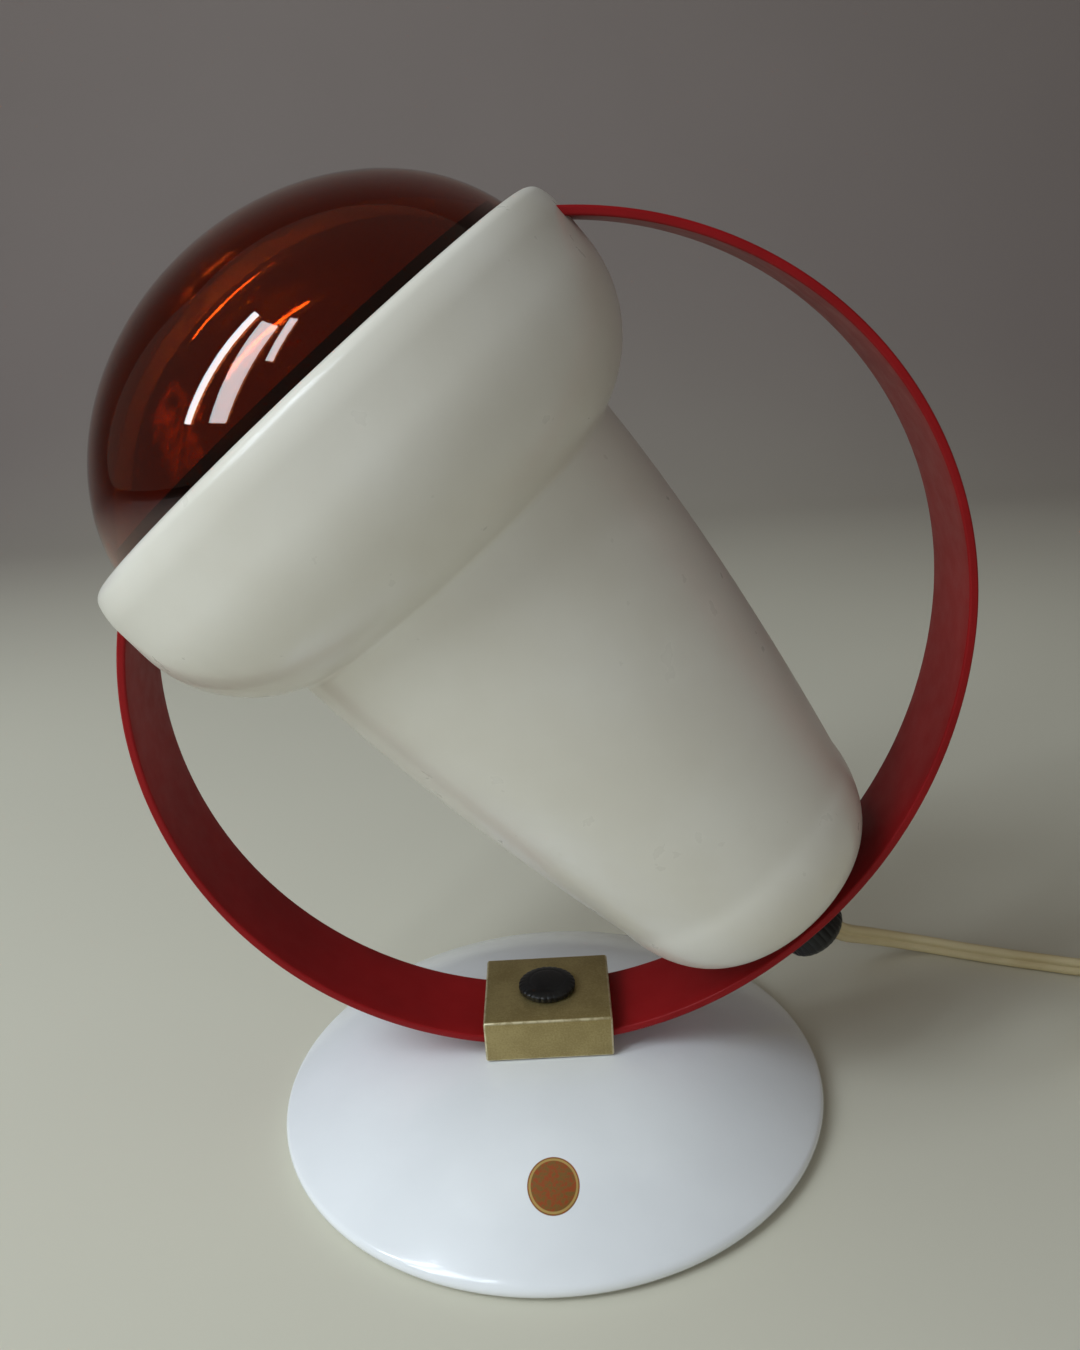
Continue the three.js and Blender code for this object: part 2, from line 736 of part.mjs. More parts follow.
function holderBracket() {
  const footFront = holderBack + seatGap;
  const footBack = footFront + bracketThickness;
  const legInside = bracketHalfSpan - bracketThickness;
  const footInside = bracketHalfSpan - bracketFootReach;
  const half = [
    [footInside, footBack], [footInside, footFront],
    [bracketHalfSpan, footFront], [bracketHalfSpan, bracketBack],
  ];
  const halfInside = [[legInside, bracketFront], [legInside, footBack]];
  const mirrored = (line) => line.map(([x, z]) => [-x, z]).reverse();
  const outline = [...half, ...mirrored(half), ...mirrored(halfInside), ...halfInside];
  const holes = [-1, 1].map((side) => (
    disc(smallScrewRadius + threadFit, footFront - cutOverrun, footBack + cutOverrun)
      .translate(side * bracketScrewSpread, 0, 0)
  ));
  const studBore = disc(studHole, bracketFront - cutOverrun, bracketBack + cutOverrun);
  return cut(acrossPlane(shapeOf(outline), bracketWidth), studBore, ...holes);
}

function smallScrew(seat) {
  const headFront = seat + seatGap;
  const tip = headFront - smallScrewGrip;
  return turned([
    [0, tip], [smallScrewRadius, tip], [smallScrewRadius, headFront], [smallScrewHeadRadius, headFront],
    [smallScrewHeadRadius, headFront + smallScrewHeadHeight], [0, headFront + smallScrewHeadHeight],
  ], 12);
}

const holderBore = holderRadius - holderWall;

function holderBody() {
  const outline = [
    [0, holderFloorTop], [holderBore, holderFloorTop], [holderBore, holderFront],
    [holderRadius, holderFront], [holderRadius, holderBack], [0, holderBack],
  ];
  const holeEnd = holderBack - smallScrewGrip - threadFit;
  const hole = disc(smallScrewRadius + threadFit, holeEnd, holderBack + cutOverrun, 12);
  const places = [
    [bracketScrewSpread, 0], [-bracketScrewSpread, 0], [0, terminalSpread], [0, -terminalSpread],
  ];
  return cut(turned(outline, mediumSides), ...places.map(([x, y]) => hole.clone().translate(x, y, 0)));
}

function holderSleeve() {
  const outer = holderBore - seatGap;
  return ring(outer - sleeveWall, outer, holderFront + sleeveFit, capEnd, mediumSides);
}

function centreContact() {
  const tongueTop = capTip + seatGap;
  const footTop = holderFloorTop - seatGap;
  const outline = [
    [-contactReach, tongueTop], [contactReach, tongueTop], [contactReach, footTop - contactThickness],
    [contactReach + contactFoot, footTop - contactThickness], [contactReach + contactFoot, footTop],
    [contactReach - contactThickness, footTop],
    [contactReach - contactThickness, tongueTop + contactThickness],
    [-contactReach, tongueTop + contactThickness],
  ];
  return acrossPlane(shapeOf(outline), contactWidth);
}

// Bulb outlines, as [radius, depth] from the mouth's plane
function bulbDomeLine() {
  const line = [];
  const steps = 8;
  for (let i = 0; i <= steps; i += 1) {
    const turn = quarterTurn * degrees * i / steps;
    line.push([bulbRadius * Math.sin(turn), bulbWidestDepth - bulbDomeDepth * Math.cos(turn)]);
  }
  return line;
}

function reflectorLine(steps) {
  const knots = [[1, 0], ...reflectorShares].map(([side, along]) => (
    new THREE.Vector2(bulbRadius * side, bulbWidestDepth + reflectorLength * along)
  ));
  return new THREE.SplineCurve(knots).getPoints(steps).map((point) => [point.x, point.y]);
}

const capInnerRadius = capCrestRadius - capThreadDepth - capWall;
const glassNeckRadius = capInnerRadius - seatGap;

function bulbGlass() {
  const reflector = reflectorLine(8);
  const neckTop = reflector[reflector.length - 1];
  const turnWidth = neckTop[0] - glassNeckRadius;
  const neckTurn = [45, 90].map((turn) => [
    glassNeckRadius + turnWidth * Math.cos(turn * degrees),
    neckTop[1] + neckTurnLength * Math.sin(turn * degrees),
  ]);
  const neckEnd = [glassNeckRadius, neckBack + neckTubeLength];
  const outer = [...bulbDomeLine(), ...reflector.slice(1), ...neckTurn, neckEnd];
  const inner = shifted(outer, -glassWall);
  inner[0] = [0, outer[0][1] + glassWall];
  return turned([...outer, ...inner.reverse()], largeSides);
}

function bulbMirror() {
  const line = reflectorLine(8).slice(1);
  const outer = shifted(line, -glassWall - seatGap);
  const inner = shifted(line, -glassWall - seatGap - mirrorThickness);
  return turned([...outer, ...inner.reverse()], largeSides);
}

function bulbCap() {
  const outer = [];
  for (let i = 0; i <= 2 * capThreads; i += 1) {
    const crest = i % 2 === 1;
    const radius = crest ? capCrestRadius : capCrestRadius - capThreadDepth;
    outer.push([radius, capStart + (capLength - 2 * capWall) * i / (2 * capThreads)]);
  }
  const endRadius = capInsulatorRadius + capWall;
  const outline = [
    ...outer, [endRadius, capEnd], [capMouthRadius, capEnd], [capMouthRadius, capEnd - capWall],
    [capInnerRadius - capWall, capEnd - capWall - capThreadDepth],
    [capInnerRadius, capEnd - 3 * capThreadDepth], [capInnerRadius, capStart],
  ];
  return turned(outline, 20);
}

function capInsulator() {
  const front = capEnd + seatGap;
  const back = front + capInsulatorHeight;
  return turned([
    [0, front], [capInsulatorRadius, front], [capContactRadius + capWall, back], [0, back],
  ]);
}

function capContact() {
  return disc(capContactRadius, capTip - capContactHeight, capTip);
}

const stemBack = neckBack + neckTubeLength;
const stemFootRadius = glassNeckRadius - glassWall - seatGap;
const stemTop = stemBack - stemLength;

function bulbStem() {
  return turned([
    [0, stemTop], [stemTopRadius, stemTop], [stemTopRadius, stemBack - stemFlareLength],
    [stemFootRadius, stemBack], [0, stemBack],
  ], 20);
}

function supportWire(side) {
  const start = stemTop - seatGap;
  return roundTube(smoothPath([
    [side * wireSpreadFoot, 0, start], [side * wireSpreadFoot, 0, start - wireLength / 3],
    [side * wireSpreadTop, 0, start - 2 * wireLength / 3], [side * wireSpreadTop, 0, start - wireLength],
  ]), wireRadius, 5, 8);
}

function filament() {
  const depth = stemTop - 2 * seatGap - wireLength - filamentRadius;
  return roundTube(smoothPath([
    [-wireSpreadTop, 0, depth], [-wireSpreadTop / 2, filamentBow, depth],
    [wireSpreadTop / 2, filamentBow, depth], [wireSpreadTop, 0, depth],
  ]), filamentRadius, 6, 10);
}

// Strain relief: stands square on the round end of the cone, on the far side
const reliefTurn = Math.acos((reliefOffset / coneBackRadius) ** (coneEndSidePower / 2)) / degrees;
const reliefSeat = coneEndPoint(reliefTurn);
const reliefAlong = coneEndPoint(reliefTurn + 1);
const reliefLean = Math.atan2(reliefAlong[1] - reliefSeat[1], reliefSeat[0] - reliefAlong[0]);

function placeRelief(geometry) {
  return geometry.rotateX(-reliefLean).translate(0, reliefSeat[0], reliefSeat[1]);
}

function reliefHole() {
  return placeRelief(disc(reliefNeckRadius + seatGap, -3 * cutOverrun, 3 * cutOverrun));
}

function strainRelief() {
  const outside = placeRelief(turned([
    [0, -2 * reliefFlangeThickness], [reliefFlangeRadius, -2 * reliefFlangeThickness],
    [reliefFlangeRadius, reliefFlangeThickness], [reliefBaseRadius, reliefFlangeThickness],
    [reliefTipRadius, reliefLength], [0, reliefLength],
  ]));
  const inside = placeRelief(disc(reliefFlangeRadius, reliefInnerEnd(), 0));
  const neck = placeRelief(disc(reliefNeckRadius, reliefInnerEnd(), reliefFlangeThickness));
  const clearance = -shadeWall - seatGap;
  return join(cut(outside, coneEnvelope(seatGap)), neck, within(inside, coneEnvelope(clearance)));
}

function reliefInnerEnd() {
  return -shadeWall - 3 * reliefFlangeThickness;
}

// A point of the strain relief's own frame in the shade's frame: a side step and a height
function reliefPoint(side, height) {
  const point = new THREE.Vector3(side, 0, height).applyAxisAngle(new THREE.Vector3(1, 0, 0), -reliefLean);
  return [point.x, point.y + reliefSeat[0], point.z + reliefSeat[1]];
}

// One inner lead, from a terminal's head to the strain relief's inner end
function innerLead(side) {
  const headBack = holderBack + 2 * seatGap + smallScrewHeadHeight;
  const straight = 4 * leadRadius;
  const end = reliefInnerEnd() - seatGap;
  const detour = side > 0 ? -nutRadius / 2 : nutRadius + 2 * leadRadius;
  const bendDepth = (headBack + reliefPoint(0, end)[2]) / 2;
  return roundTube(smoothPath([
    [0, side * terminalSpread, headBack], [0, side * terminalSpread, headBack + straight],
    [detour, (1 + side) * terminalSpread / 2, bendDepth],
    reliefPoint(-side * leadSpread, end - 2 * straight), reliefPoint(-side * leadSpread, end - straight),
    reliefPoint(-side * leadSpread, end),
  ]), leadRadius, 6, 14);
}

// Curves whose sections keep the cord's wide side upright
class UprightCurve extends THREE.Curve {
  constructor(place) {
    super();
    this.place = place;
  }

  getPoint(share, target = new THREE.Vector3()) {
    return target.copy(this.place(share));
  }

  computeFrenetFrames(segments) {
    const frames = { tangents: [], normals: [], binormals: [] };
    for (let i = 0; i <= segments; i += 1) {
      const tangent = this.getTangentAt(i / segments);
      const normal = new THREE.Vector3(0, 0, 1).cross(tangent).normalize();
      frames.tangents.push(tangent);
      frames.normals.push(normal);
      frames.binormals.push(tangent.clone().cross(normal));
    }
    return frames;
  }
}

// The flat cord's section: two half rounds with straight sides between them
function cordSection(stepsPerEnd) {
  const round = cordThickness / 2;
  const rise = cordWidth / 2 - round;
  const top = arcLine([0, rise], round, 0, 180, stepsPerEnd);
  const bottom = arcLine([0, -rise], round, 180, 360, stepsPerEnd);
  return shapeOf([...top, ...bottom]);
}

function cordTube(path, steps, stepsPerEnd) {
  const section = cordSection(stepsPerEnd);
  return new THREE.ExtrudeGeometry(section, { steps, extrudePath: path, bevelEnabled: false });
}

// Coil: it spirals in and out again in two layers, clockwise from above
const coilPitch = cordThickness + coilTurnGap;
const coilOuterRadius = coilMeanRadius + coilPitch * coilTurns / 4;
const coilInnerRadius = coilMeanRadius - coilPitch * coilTurns / 4;
const coilLowHeight = coilLift + cordWidth / 2;
const coilHighHeight = coilLowHeight + cordWidth + coilLayerGap;

function coilPoint(turn) {
  const angle = (coilStartAngle - 360 * turn) * degrees;
  const half = coilTurns / 2;
  const radius = coilInnerRadius + coilPitch * Math.abs(turn - half);
  const climb = Math.min(1, Math.max(0, (turn - half) / coilClimbShare + 0.5));
  return new THREE.Vector3(
    coilCentre[0] + radius * Math.cos(angle),
    coilCentre[1] + radius * Math.sin(angle),
    coilLowHeight + (coilHighHeight - coilLowHeight) * climb,
  );
}

function coilEndDirection(angle) {
  return new THREE.Vector3(Math.sin(angle * degrees), -Math.cos(angle * degrees), 0);
}

const coilEndAngle = coilStartAngle - 360 * coilTurns;
const coilEntry = coilPoint(0).addScaledVector(coilEndDirection(coilStartAngle), -cordWidth);
const coilExit = coilPoint(coilTurns).addScaledVector(coilEndDirection(coilEndAngle), cordWidth);

function coilCurve() {
  const turnLength = 2 * Math.PI * coilMeanRadius;
  const straightShare = cordWidth / (turnLength * coilTurns + 2 * cordWidth);
  return new UprightCurve((share) => {
    if (share < straightShare) return coilEntry.clone().lerp(coilPoint(0), share / straightShare);
    if (share > 1 - straightShare) {
      return coilPoint(coilTurns).lerp(coilExit, 1 - (1 - share) / straightShare);
    }
    return coilPoint(coilTurns * (share - straightShare) / (1 - 2 * straightShare));
  });
}

// Least gap between two turns, measured on points along the coil
function coilLeastGap(curve, steps) {
  const points = curve.getSpacedPoints(steps);
  const upright = cordWidth - cordThickness;
  const apart = Math.ceil(steps / coilTurns / 2);
  let least = Infinity;
  for (let i = 0; i < points.length; i += 1) {
    for (let k = i + apart; k < points.length; k += 1) {
      const level = Math.hypot(points[i].x - points[k].x, points[i].y - points[k].y);
      const upDown = Math.max(0, Math.abs(points[i].z - points[k].z) - upright);
      least = Math.min(least, Math.hypot(level, upDown) - cordThickness);
    }
  }
  return least;
}

function cordCoil() {
  const curve = coilCurve();
  console.log('coil: least gap to itself', coilLeastGap(curve, 1500).toFixed(2), 'mm');
  console.log('coil: length', curve.getLength().toFixed(0), 'mm');
  return cordTube(curve, Math.round(coilStepsPerTurn * coilTurns) + 2, 2);
}

// The free cord from the strain relief to the coil, one smooth line in two stretches
const reliefTip = new THREE.Vector3(...reliefPoint(0, reliefLength)).applyMatrix4(shadeMatrix);
const reliefStart = new THREE.Vector3(...reliefPoint(0, reliefLength + seatGap)).applyMatrix4(shadeMatrix);

function freeRoute() {
  const beforeCoil = (distance) => coilEntry.clone()
    .addScaledVector(coilEndDirection(coilStartAngle), -distance).toArray();
  return smoothPath([
    reliefStart.toArray(), ...cordRoute, beforeCoil(2 * cordWidth), beforeCoil(seatGap),
  ]);
}

function cordStretch(from, to) {
  const route = freeRoute();
  const knots = cordRoute.length + 2;
  const gap = seatGap / 2 / route.getLength();
  const lengths = route.getLengths(knots * 20);
  const share = (knot) => lengths[Math.round(knot * 20)] / lengths[lengths.length - 1];
  const start = from === 0 ? 0 : share(from) + gap;
  const end = to === knots ? 1 : share(to) - gap;
  const curve = new UprightCurve((part) => route.getPointAt(start + (end - start) * part));
  const length = route.getLength() * (end - start);
  console.log('free cord stretch', length.toFixed(0), 'mm');
  return cordTube(curve, Math.round(length / cordStepLength), 4);
}

// Plug: lies beside the coil, its pins pointing away from it
const plugAxisHeight = plugThickness / 2;
const coilOut = coilEndDirection(coilEndAngle);
const coilAside = coilEndDirection(coilEndAngle + quarterTurn);
const plugEntry = new THREE.Vector3(coilExit.x, coilExit.y, plugAxisHeight)
  .addScaledVector(coilOut, plugTailLength)
  .addScaledVector(coilAside, plugDrift);

function cordTail() {
  const start = coilExit.clone().addScaledVector(coilOut, seatGap);
  const end = plugEntry.clone().addScaledVector(coilOut, -seatGap);
  const route = smoothPath([
    start.toArray(), start.clone().addScaledVector(coilOut, cordWidth).toArray(),
    end.clone().addScaledVector(coilOut, -cordWidth).toArray(), end.toArray(),
  ]);
  const curve = new UprightCurve((part) => route.getPointAt(part));
  console.log('cord tail', route.getLength().toFixed(0), 'mm');
  return cordTube(curve, 8, 4);
}

function coilTie() {
  const inside = coilInnerRadius - cordThickness / 2 - tieRoom;
  const outside = coilOuterRadius + cordThickness / 2 + tieRoom;
  const low = coilLift - seatGap;
  const high = coilHighHeight + cordWidth / 2 + seatGap;
  const frame = (grow, round, Kind) => {
    const outline = new Kind();
    const corners = [[outside, high, 0], [inside, high, 1], [inside, low, 2], [outside, low, 3]];
    for (const [x, z, turns] of corners) {
      const from = turns * quarterTurn * degrees;
      const stepIn = round - grow;
      const centreX = x === outside ? x - stepIn : x + stepIn;
      const centreZ = z === high ? z - stepIn : z + stepIn;
      outline.absarc(centreX, centreZ, round, from, from + quarterTurn * degrees, false);
    }
    return outline;
  };
  const strap = frame(tieThickness, tieCornerRound + tieThickness, THREE.Shape);
  strap.holes.push(frame(0, tieCornerRound, THREE.Path));
  return acrossPlane(strap, tieWidth, 2).rotateZ(tieAngle * degrees).translate(...coilCentre, 0);
}

// The plug's own frame: +X along its pins, +Z up, from where the cord goes in
function plugBody() {
  const rear = plugReliefLength;
  const face = plugReliefLength + plugLength;
  const outline = [
    [rear, -plugRearWidth / 2], [rear + plugRearSlope, -plugWidth / 2],
    [face - plugFaceSlope, -plugWidth / 2], [face, -plugFaceWidth / 2],
  ];
  const corners = [...outline, ...outline.map(([x, y]) => [x, -y]).reverse()];
  const body = new THREE.ExtrudeGeometry(shapeOf(corners), {
    depth: plugThickness - 2 * plugRound,
    bevelThickness: plugRound,
    bevelSize: plugRound,
    bevelOffset: -plugRound,
    bevelSegments: 2,
  }).translate(0, 0, plugRound);
  const relief = turned([
    [0, 0], [plugReliefTip, 0],
    [plugReliefRadius, plugReliefLength + cutOverrun], [0, plugReliefLength + cutOverrun],
  ], smallSides).rotateY(Math.PI / 2).translate(0, 0, plugAxisHeight);
  return join(body, relief);
}

function plugPin() {
  return turned([
    [0, 0], [pinRadius, 0], [pinRadius, pinLength - pinTipRound],
    [pinRadius - pinTipRound, pinLength], [0, pinLength],
  ], 12).rotateY(Math.PI / 2);
}

// Assembly
const lamp = new THREE.Group();

addPiece(lamp, 'base_shell', baseShell(), whiteEnamel);
addPiece(lamp, 'base_weight', baseWeight(), castIron);
addPiece(lamp, 'base_pad', disc(padRadius, 0, padThickness, largeSides), blackRubber);
for (const [sideName, side] of [['left', -1], ['right', 1]]) {
  const x = side * blockScrewSpread;
  addPiece(lamp, `block_screw_${sideName}`, blockScrew(), zincSteel).position.x = x;
  addPiece(lamp, `block_washer_${sideName}`, blockWasher(), zincSteel).position.x = x;
}
addPiece(lamp, 'clamp_block', clampBlock(), satinGold);
addPiece(lamp, 'clamp_shoe', clampShoe(), brass);
addPiece(lamp, 'clamp_stud', clampStud(), zincSteel);
addPiece(lamp, 'clamp_knob', clampKnob(), blackPlastic);
addPiece(lamp, 'hoop', hoopBand(), redEnamel);

const shade = placeOnShade(new THREE.Group());
lamp.add(shade);
addPiece(shade, 'shade_bell', shadeBell(), creamEnamel);
addPiece(shade, 'shade_cone', shadeCone(), creamEnamel);
addPiece(shade, 'shade_spacer', shadeSpacer(), blackPlastic);
addPiece(shade, 'shade_stud', shadeStud(), zincSteel);
addPiece(shade, 'stud_nut', studNut(), zincSteel);
addPiece(shade, 'saddle_washer', saddleWasher(), zincSteel);
addPiece(shade, 'rear_knob', rearKnob(), blackPlastic);
addPiece(shade, 'holder_bracket', holderBracket(), zincSteel);
addPiece(shade, 'holder_body', holderBody(), porcelain);
addPiece(shade, 'holder_sleeve', holderSleeve(), brass);
addPiece(shade, 'centre_contact', centreContact(), brass);
for (const [sideName, side] of [['left', -1], ['right', 1]]) {
  const screw = smallScrew(holderBack + seatGap + bracketThickness);
  addPiece(shade, `bracket_screw_${sideName}`, screw, zincSteel).position.x = side * bracketScrewSpread;
}
for (const [wireName, side, insulation] of [['live', 1, brownLead], ['neutral', -1, blueLead]]) {
  const screw = smallScrew(holderBack);
  addPiece(shade, `terminal_screw_${wireName}`, screw, brass).position.y = side * terminalSpread;
  addPiece(shade, `inner_lead_${wireName}`, innerLead(side), insulation);
}
addPiece(shade, 'strain_relief', strainRelief(), creamPlastic);

addPiece(shade, 'bulb_glass', bulbGlass(), redGlass);
addPiece(shade, 'bulb_mirror', bulbMirror(), silvering);
addPiece(shade, 'bulb_cap', bulbCap(), nickelPlate);
addPiece(shade, 'cap_insulator', capInsulator(), blackPlastic);
addPiece(shade, 'cap_contact', capContact(), brass);
addPiece(shade, 'bulb_stem', bulbStem(), clearGlass);
addPiece(shade, 'support_wire_left', supportWire(-1), tungsten);
addPiece(shade, 'support_wire_right', supportWire(1), tungsten);
addPiece(shade, 'filament', filament(), tungsten);

console.log('strain relief tip', reliefTip.toArray().map((value) => value.toFixed(1)).join(' '));
addPiece(lamp, 'cord_drop', cordStretch(0, cordDropPoints), creamPlastic);
addPiece(lamp, 'cord_run', cordStretch(cordDropPoints, cordRoute.length + 2), creamPlastic);
addPiece(lamp, 'cord_coil', cordCoil(), creamPlastic);
addPiece(lamp, 'cord_tail', cordTail(), creamPlastic);
addPiece(lamp, 'coil_tie', coilTie(), blackPlastic);

const plug = new THREE.Group();
plug.position.set(plugEntry.x, plugEntry.y, 0);
plug.rotation.z = Math.atan2(coilOut.y, coilOut.x);
lamp.add(plug);
addPiece(plug, 'plug_body', plugBody(), creamPlastic);
for (const [sideName, side] of [['left', -1], ['right', 1]]) {
  const pin = addPiece(plug, `plug_pin_${sideName}`, plugPin(), nickelPlate);
  pin.position.set(plugReliefLength + plugLength + seatGap, side * pinSpread, plugAxisHeight);
}

export default lamp;
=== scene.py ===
# Infrared heat therapy lamp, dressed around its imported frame. Metres, +Z up.
# The hoop lies in the plane y = 0, and the lamp is seen from the side of -Y.
import math

import bmesh
import bpy
import numpy as np
from mathutils import Matrix


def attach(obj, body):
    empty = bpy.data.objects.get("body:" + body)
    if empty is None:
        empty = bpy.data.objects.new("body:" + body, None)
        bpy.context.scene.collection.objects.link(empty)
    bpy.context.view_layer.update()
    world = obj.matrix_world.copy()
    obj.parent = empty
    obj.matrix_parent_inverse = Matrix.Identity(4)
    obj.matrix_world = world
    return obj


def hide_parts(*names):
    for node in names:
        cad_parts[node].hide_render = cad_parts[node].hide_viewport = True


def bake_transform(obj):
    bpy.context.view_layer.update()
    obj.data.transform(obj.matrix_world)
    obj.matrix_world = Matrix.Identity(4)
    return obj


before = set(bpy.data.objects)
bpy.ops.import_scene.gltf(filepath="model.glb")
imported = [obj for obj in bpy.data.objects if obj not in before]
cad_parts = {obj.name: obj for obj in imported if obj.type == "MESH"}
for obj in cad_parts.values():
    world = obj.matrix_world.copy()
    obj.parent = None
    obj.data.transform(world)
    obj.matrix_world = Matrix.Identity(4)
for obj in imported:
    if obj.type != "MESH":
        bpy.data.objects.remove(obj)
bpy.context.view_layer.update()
print("frame loaded with", len(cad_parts), "nodes")


# Lines and surfaces

def unit(vector):
    return np.asarray(vector, float) / np.linalg.norm(vector)


def arcLine(centre, radius, start, end, count):
    # points on a circle, from one angle to another in degrees
    angle = np.radians(np.linspace(start, end, count))
    return np.column_stack([centre[0] + radius * np.cos(angle), centre[1] + radius * np.sin(angle)])


def shifted(line, distance):
    # each point moved to the left of the line's own direction there
    run = np.gradient(line, axis=0)
    run /= np.linalg.norm(run, axis=1, keepdims=True)
    return line + distance * np.column_stack([-run[:, 1], run[:, 0]])


def throughKnots(knots, steps, carryOn=True):
    # uniform Catmull-Rom curve: each span is a cubic of its two ends and their neighbours.
    # Past the ends it carries straight on, or repeats the end knot.
    knots = np.asarray(knots, float)
    before = 2 * knots[:1] - knots[1:2] if carryOn else knots[:1]
    after = 2 * knots[-1:] - knots[-2:-1] if carryOn else knots[-1:]
    spaced = np.vstack([before, knots, after])[:, None]
    a, b, c, d = spaced[:-3], spaced[1:-2], spaced[2:-1], spaced[3:]
    t = np.linspace(0, 1, steps, endpoint=False)[:, None]
    cubic = 2 * b + (c - a) * t + (2 * a - 5 * b + 4 * c - d) * t ** 2 + (3 * b - a - 3 * c + d) * t ** 3
    return np.vstack([cubic.reshape(-1, knots.shape[1]) / 2, knots[-1:]])


def evenly(path, step):
    # the same line with points a step apart, measured along it
    along = np.concatenate([[0], np.cumsum(np.linalg.norm(np.diff(path, axis=0), axis=1))])
    count = max(2, int(round(along[-1] / step)) + 1)
    wanted = np.linspace(0, along[-1], count)
    return np.column_stack([np.interp(wanted, along, path[:, k]) for k in range(path.shape[1])])


def lengthOf(path):
    return float(np.linalg.norm(np.diff(path, axis=0), axis=1).sum())


def turnedPoints(profile, sides):
    # [radius, height] carried round the z axis: (r cos a, r sin a, h)
    angle = np.linspace(0, 2 * np.pi, sides, endpoint=False)
    radius, height = profile[:, :1], profile[:, 1:]
    return np.stack([radius * np.cos(angle), radius * np.sin(angle), height + 0 * angle], -1)


def roundedLoop(halfWidth, low, high, rounding, cornerSteps=5, sideSteps=4):
    # a rectangle with round corners as [..., point, (across, up)]: four arcs joined by straight sides.
    # Each argument may be an array, one value for each loop.
    halfWidth, low, high, rounding = np.broadcast_arrays(halfWidth, low, high, rounding)
    middle, halfHeight = (low + high) / 2, (high - low) / 2
    arcs = []
    for corner, (sideX, sideY) in enumerate([(1, 1), (-1, 1), (-1, -1), (1, -1)]):
        angle = np.radians(90 * corner + np.linspace(0, 90, cornerSteps))
        across = (sideX * (halfWidth - rounding))[..., None] + rounding[..., None] * np.cos(angle)
        up = (middle + sideY * (halfHeight - rounding))[..., None] + rounding[..., None] * np.sin(angle)
        arcs.append(np.stack([across, up], -1))
    share = np.linspace(0, 1, sideSteps + 2)[1:-1, None]
    loop = []
    for arc, following in zip(arcs, arcs[1:] + arcs[:1]):
        loop += [arc, arc[..., -1:, :] * (1 - share) + following[..., :1, :] * share]
    return np.concatenate(loop, -2)


def alongPath(path, section, upright=(0, 0, 1)):
    # a section [across, up] carried along a path: across stays square to the path and to the upright
    # direction, up stays square to both
    forward = np.gradient(path, axis=0)
    forward /= np.linalg.norm(forward, axis=1, keepdims=True)
    across = np.cross(upright, forward)
    across /= np.linalg.norm(across, axis=1, keepdims=True)
    up = np.cross(forward, across)
    return path[:, None] + section[:, :1] * across[:, None] + section[:, 1:] * up[:, None]


def closedEnds(points):
    # the first and the last ring drawn together to their middles
    middles = [np.repeat(ring.mean(0)[None, None], points.shape[1], 1) for ring in (points[0], points[-1])]
    return np.concatenate([middles[0], points, middles[1]])


def surface(points, ringRows=False, ringColumns=True):
    # points[row, column] as places and quads between neighbours; a ring joins its last line to its first.
    # The quads are turned outwards by the sign of the volume that they enclose.
    rows, columns = points.shape[:2]
    index = np.arange(rows * columns).reshape(rows, columns)
    index = np.vstack([index, index[:1]]) if ringRows else index
    index = np.hstack([index, index[:, :1]]) if ringColumns else index
    quads = np.stack([index[:-1, :-1], index[:-1, 1:], index[1:, 1:], index[1:, :-1]], -1).reshape(-1, 4)
    places = points.reshape(-1, 3)
    a, b, c, d = (places[quads[:, k]] - places.mean(0) for k in range(4))
    volume = (a * (np.cross(b, c) + np.cross(c, d))).sum()
    return places, quads if volume > 0 else quads[:, ::-1]


def makePiece(name, *surfaces, sharpFrom=40, marks=None):
    # one mesh object of all the surfaces, poles and seams welded, smooth except at sharp edges
    starts = np.cumsum([0] + [len(places) for places, quads in surfaces])
    places = np.vstack([places for places, quads in surfaces])
    quads = np.vstack([quads + start for (_, quads), start in zip(surfaces, starts)])
    mesh = bpy.data.meshes.new(name)
    mesh.from_pydata(places.tolist(), [], quads.tolist())
    for key, values in (marks or {}).items():
        mark = mesh.attributes.new(key, "FLOAT", "POINT")
        mark.data.foreach_set("value", np.ravel(values).astype(np.float32))
    welded = bmesh.new()
    welded.from_mesh(mesh)
    bmesh.ops.remove_doubles(welded, verts=welded.verts, dist=1e-7)
    bmesh.ops.dissolve_degenerate(welded, edges=welded.edges, dist=1e-8)
    welded.to_mesh(mesh)
    welded.free()
    mesh.polygons.foreach_set("use_smooth", np.ones(len(mesh.polygons), bool))
    mesh.set_sharp_from_angle(angle=math.radians(sharpFrom))
    thing = bpy.data.objects.new(name, mesh)
    bpy.context.scene.collection.objects.link(thing)
    return thing


def place(thing, body, slot, *nodes, finish=None):
    # the piece moves with a body, has the finish of its slot or another, and stands for the nodes
    thing.data.materials.append(finishes[finish or slot].material)
    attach(thing, body)
    if nodes:
        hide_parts(*nodes)
    return thing


# Materials

def tint(red, green, blue):
    # a colour as a screen shows it, 0 to 255, made linear
    shares = np.array([red, green, blue]) / 255
    linear = np.where(shares <= 0.04045, shares / 12.92, ((shares + 0.055) / 1.055) ** 2.4)
    return (*linear.tolist(), 1)


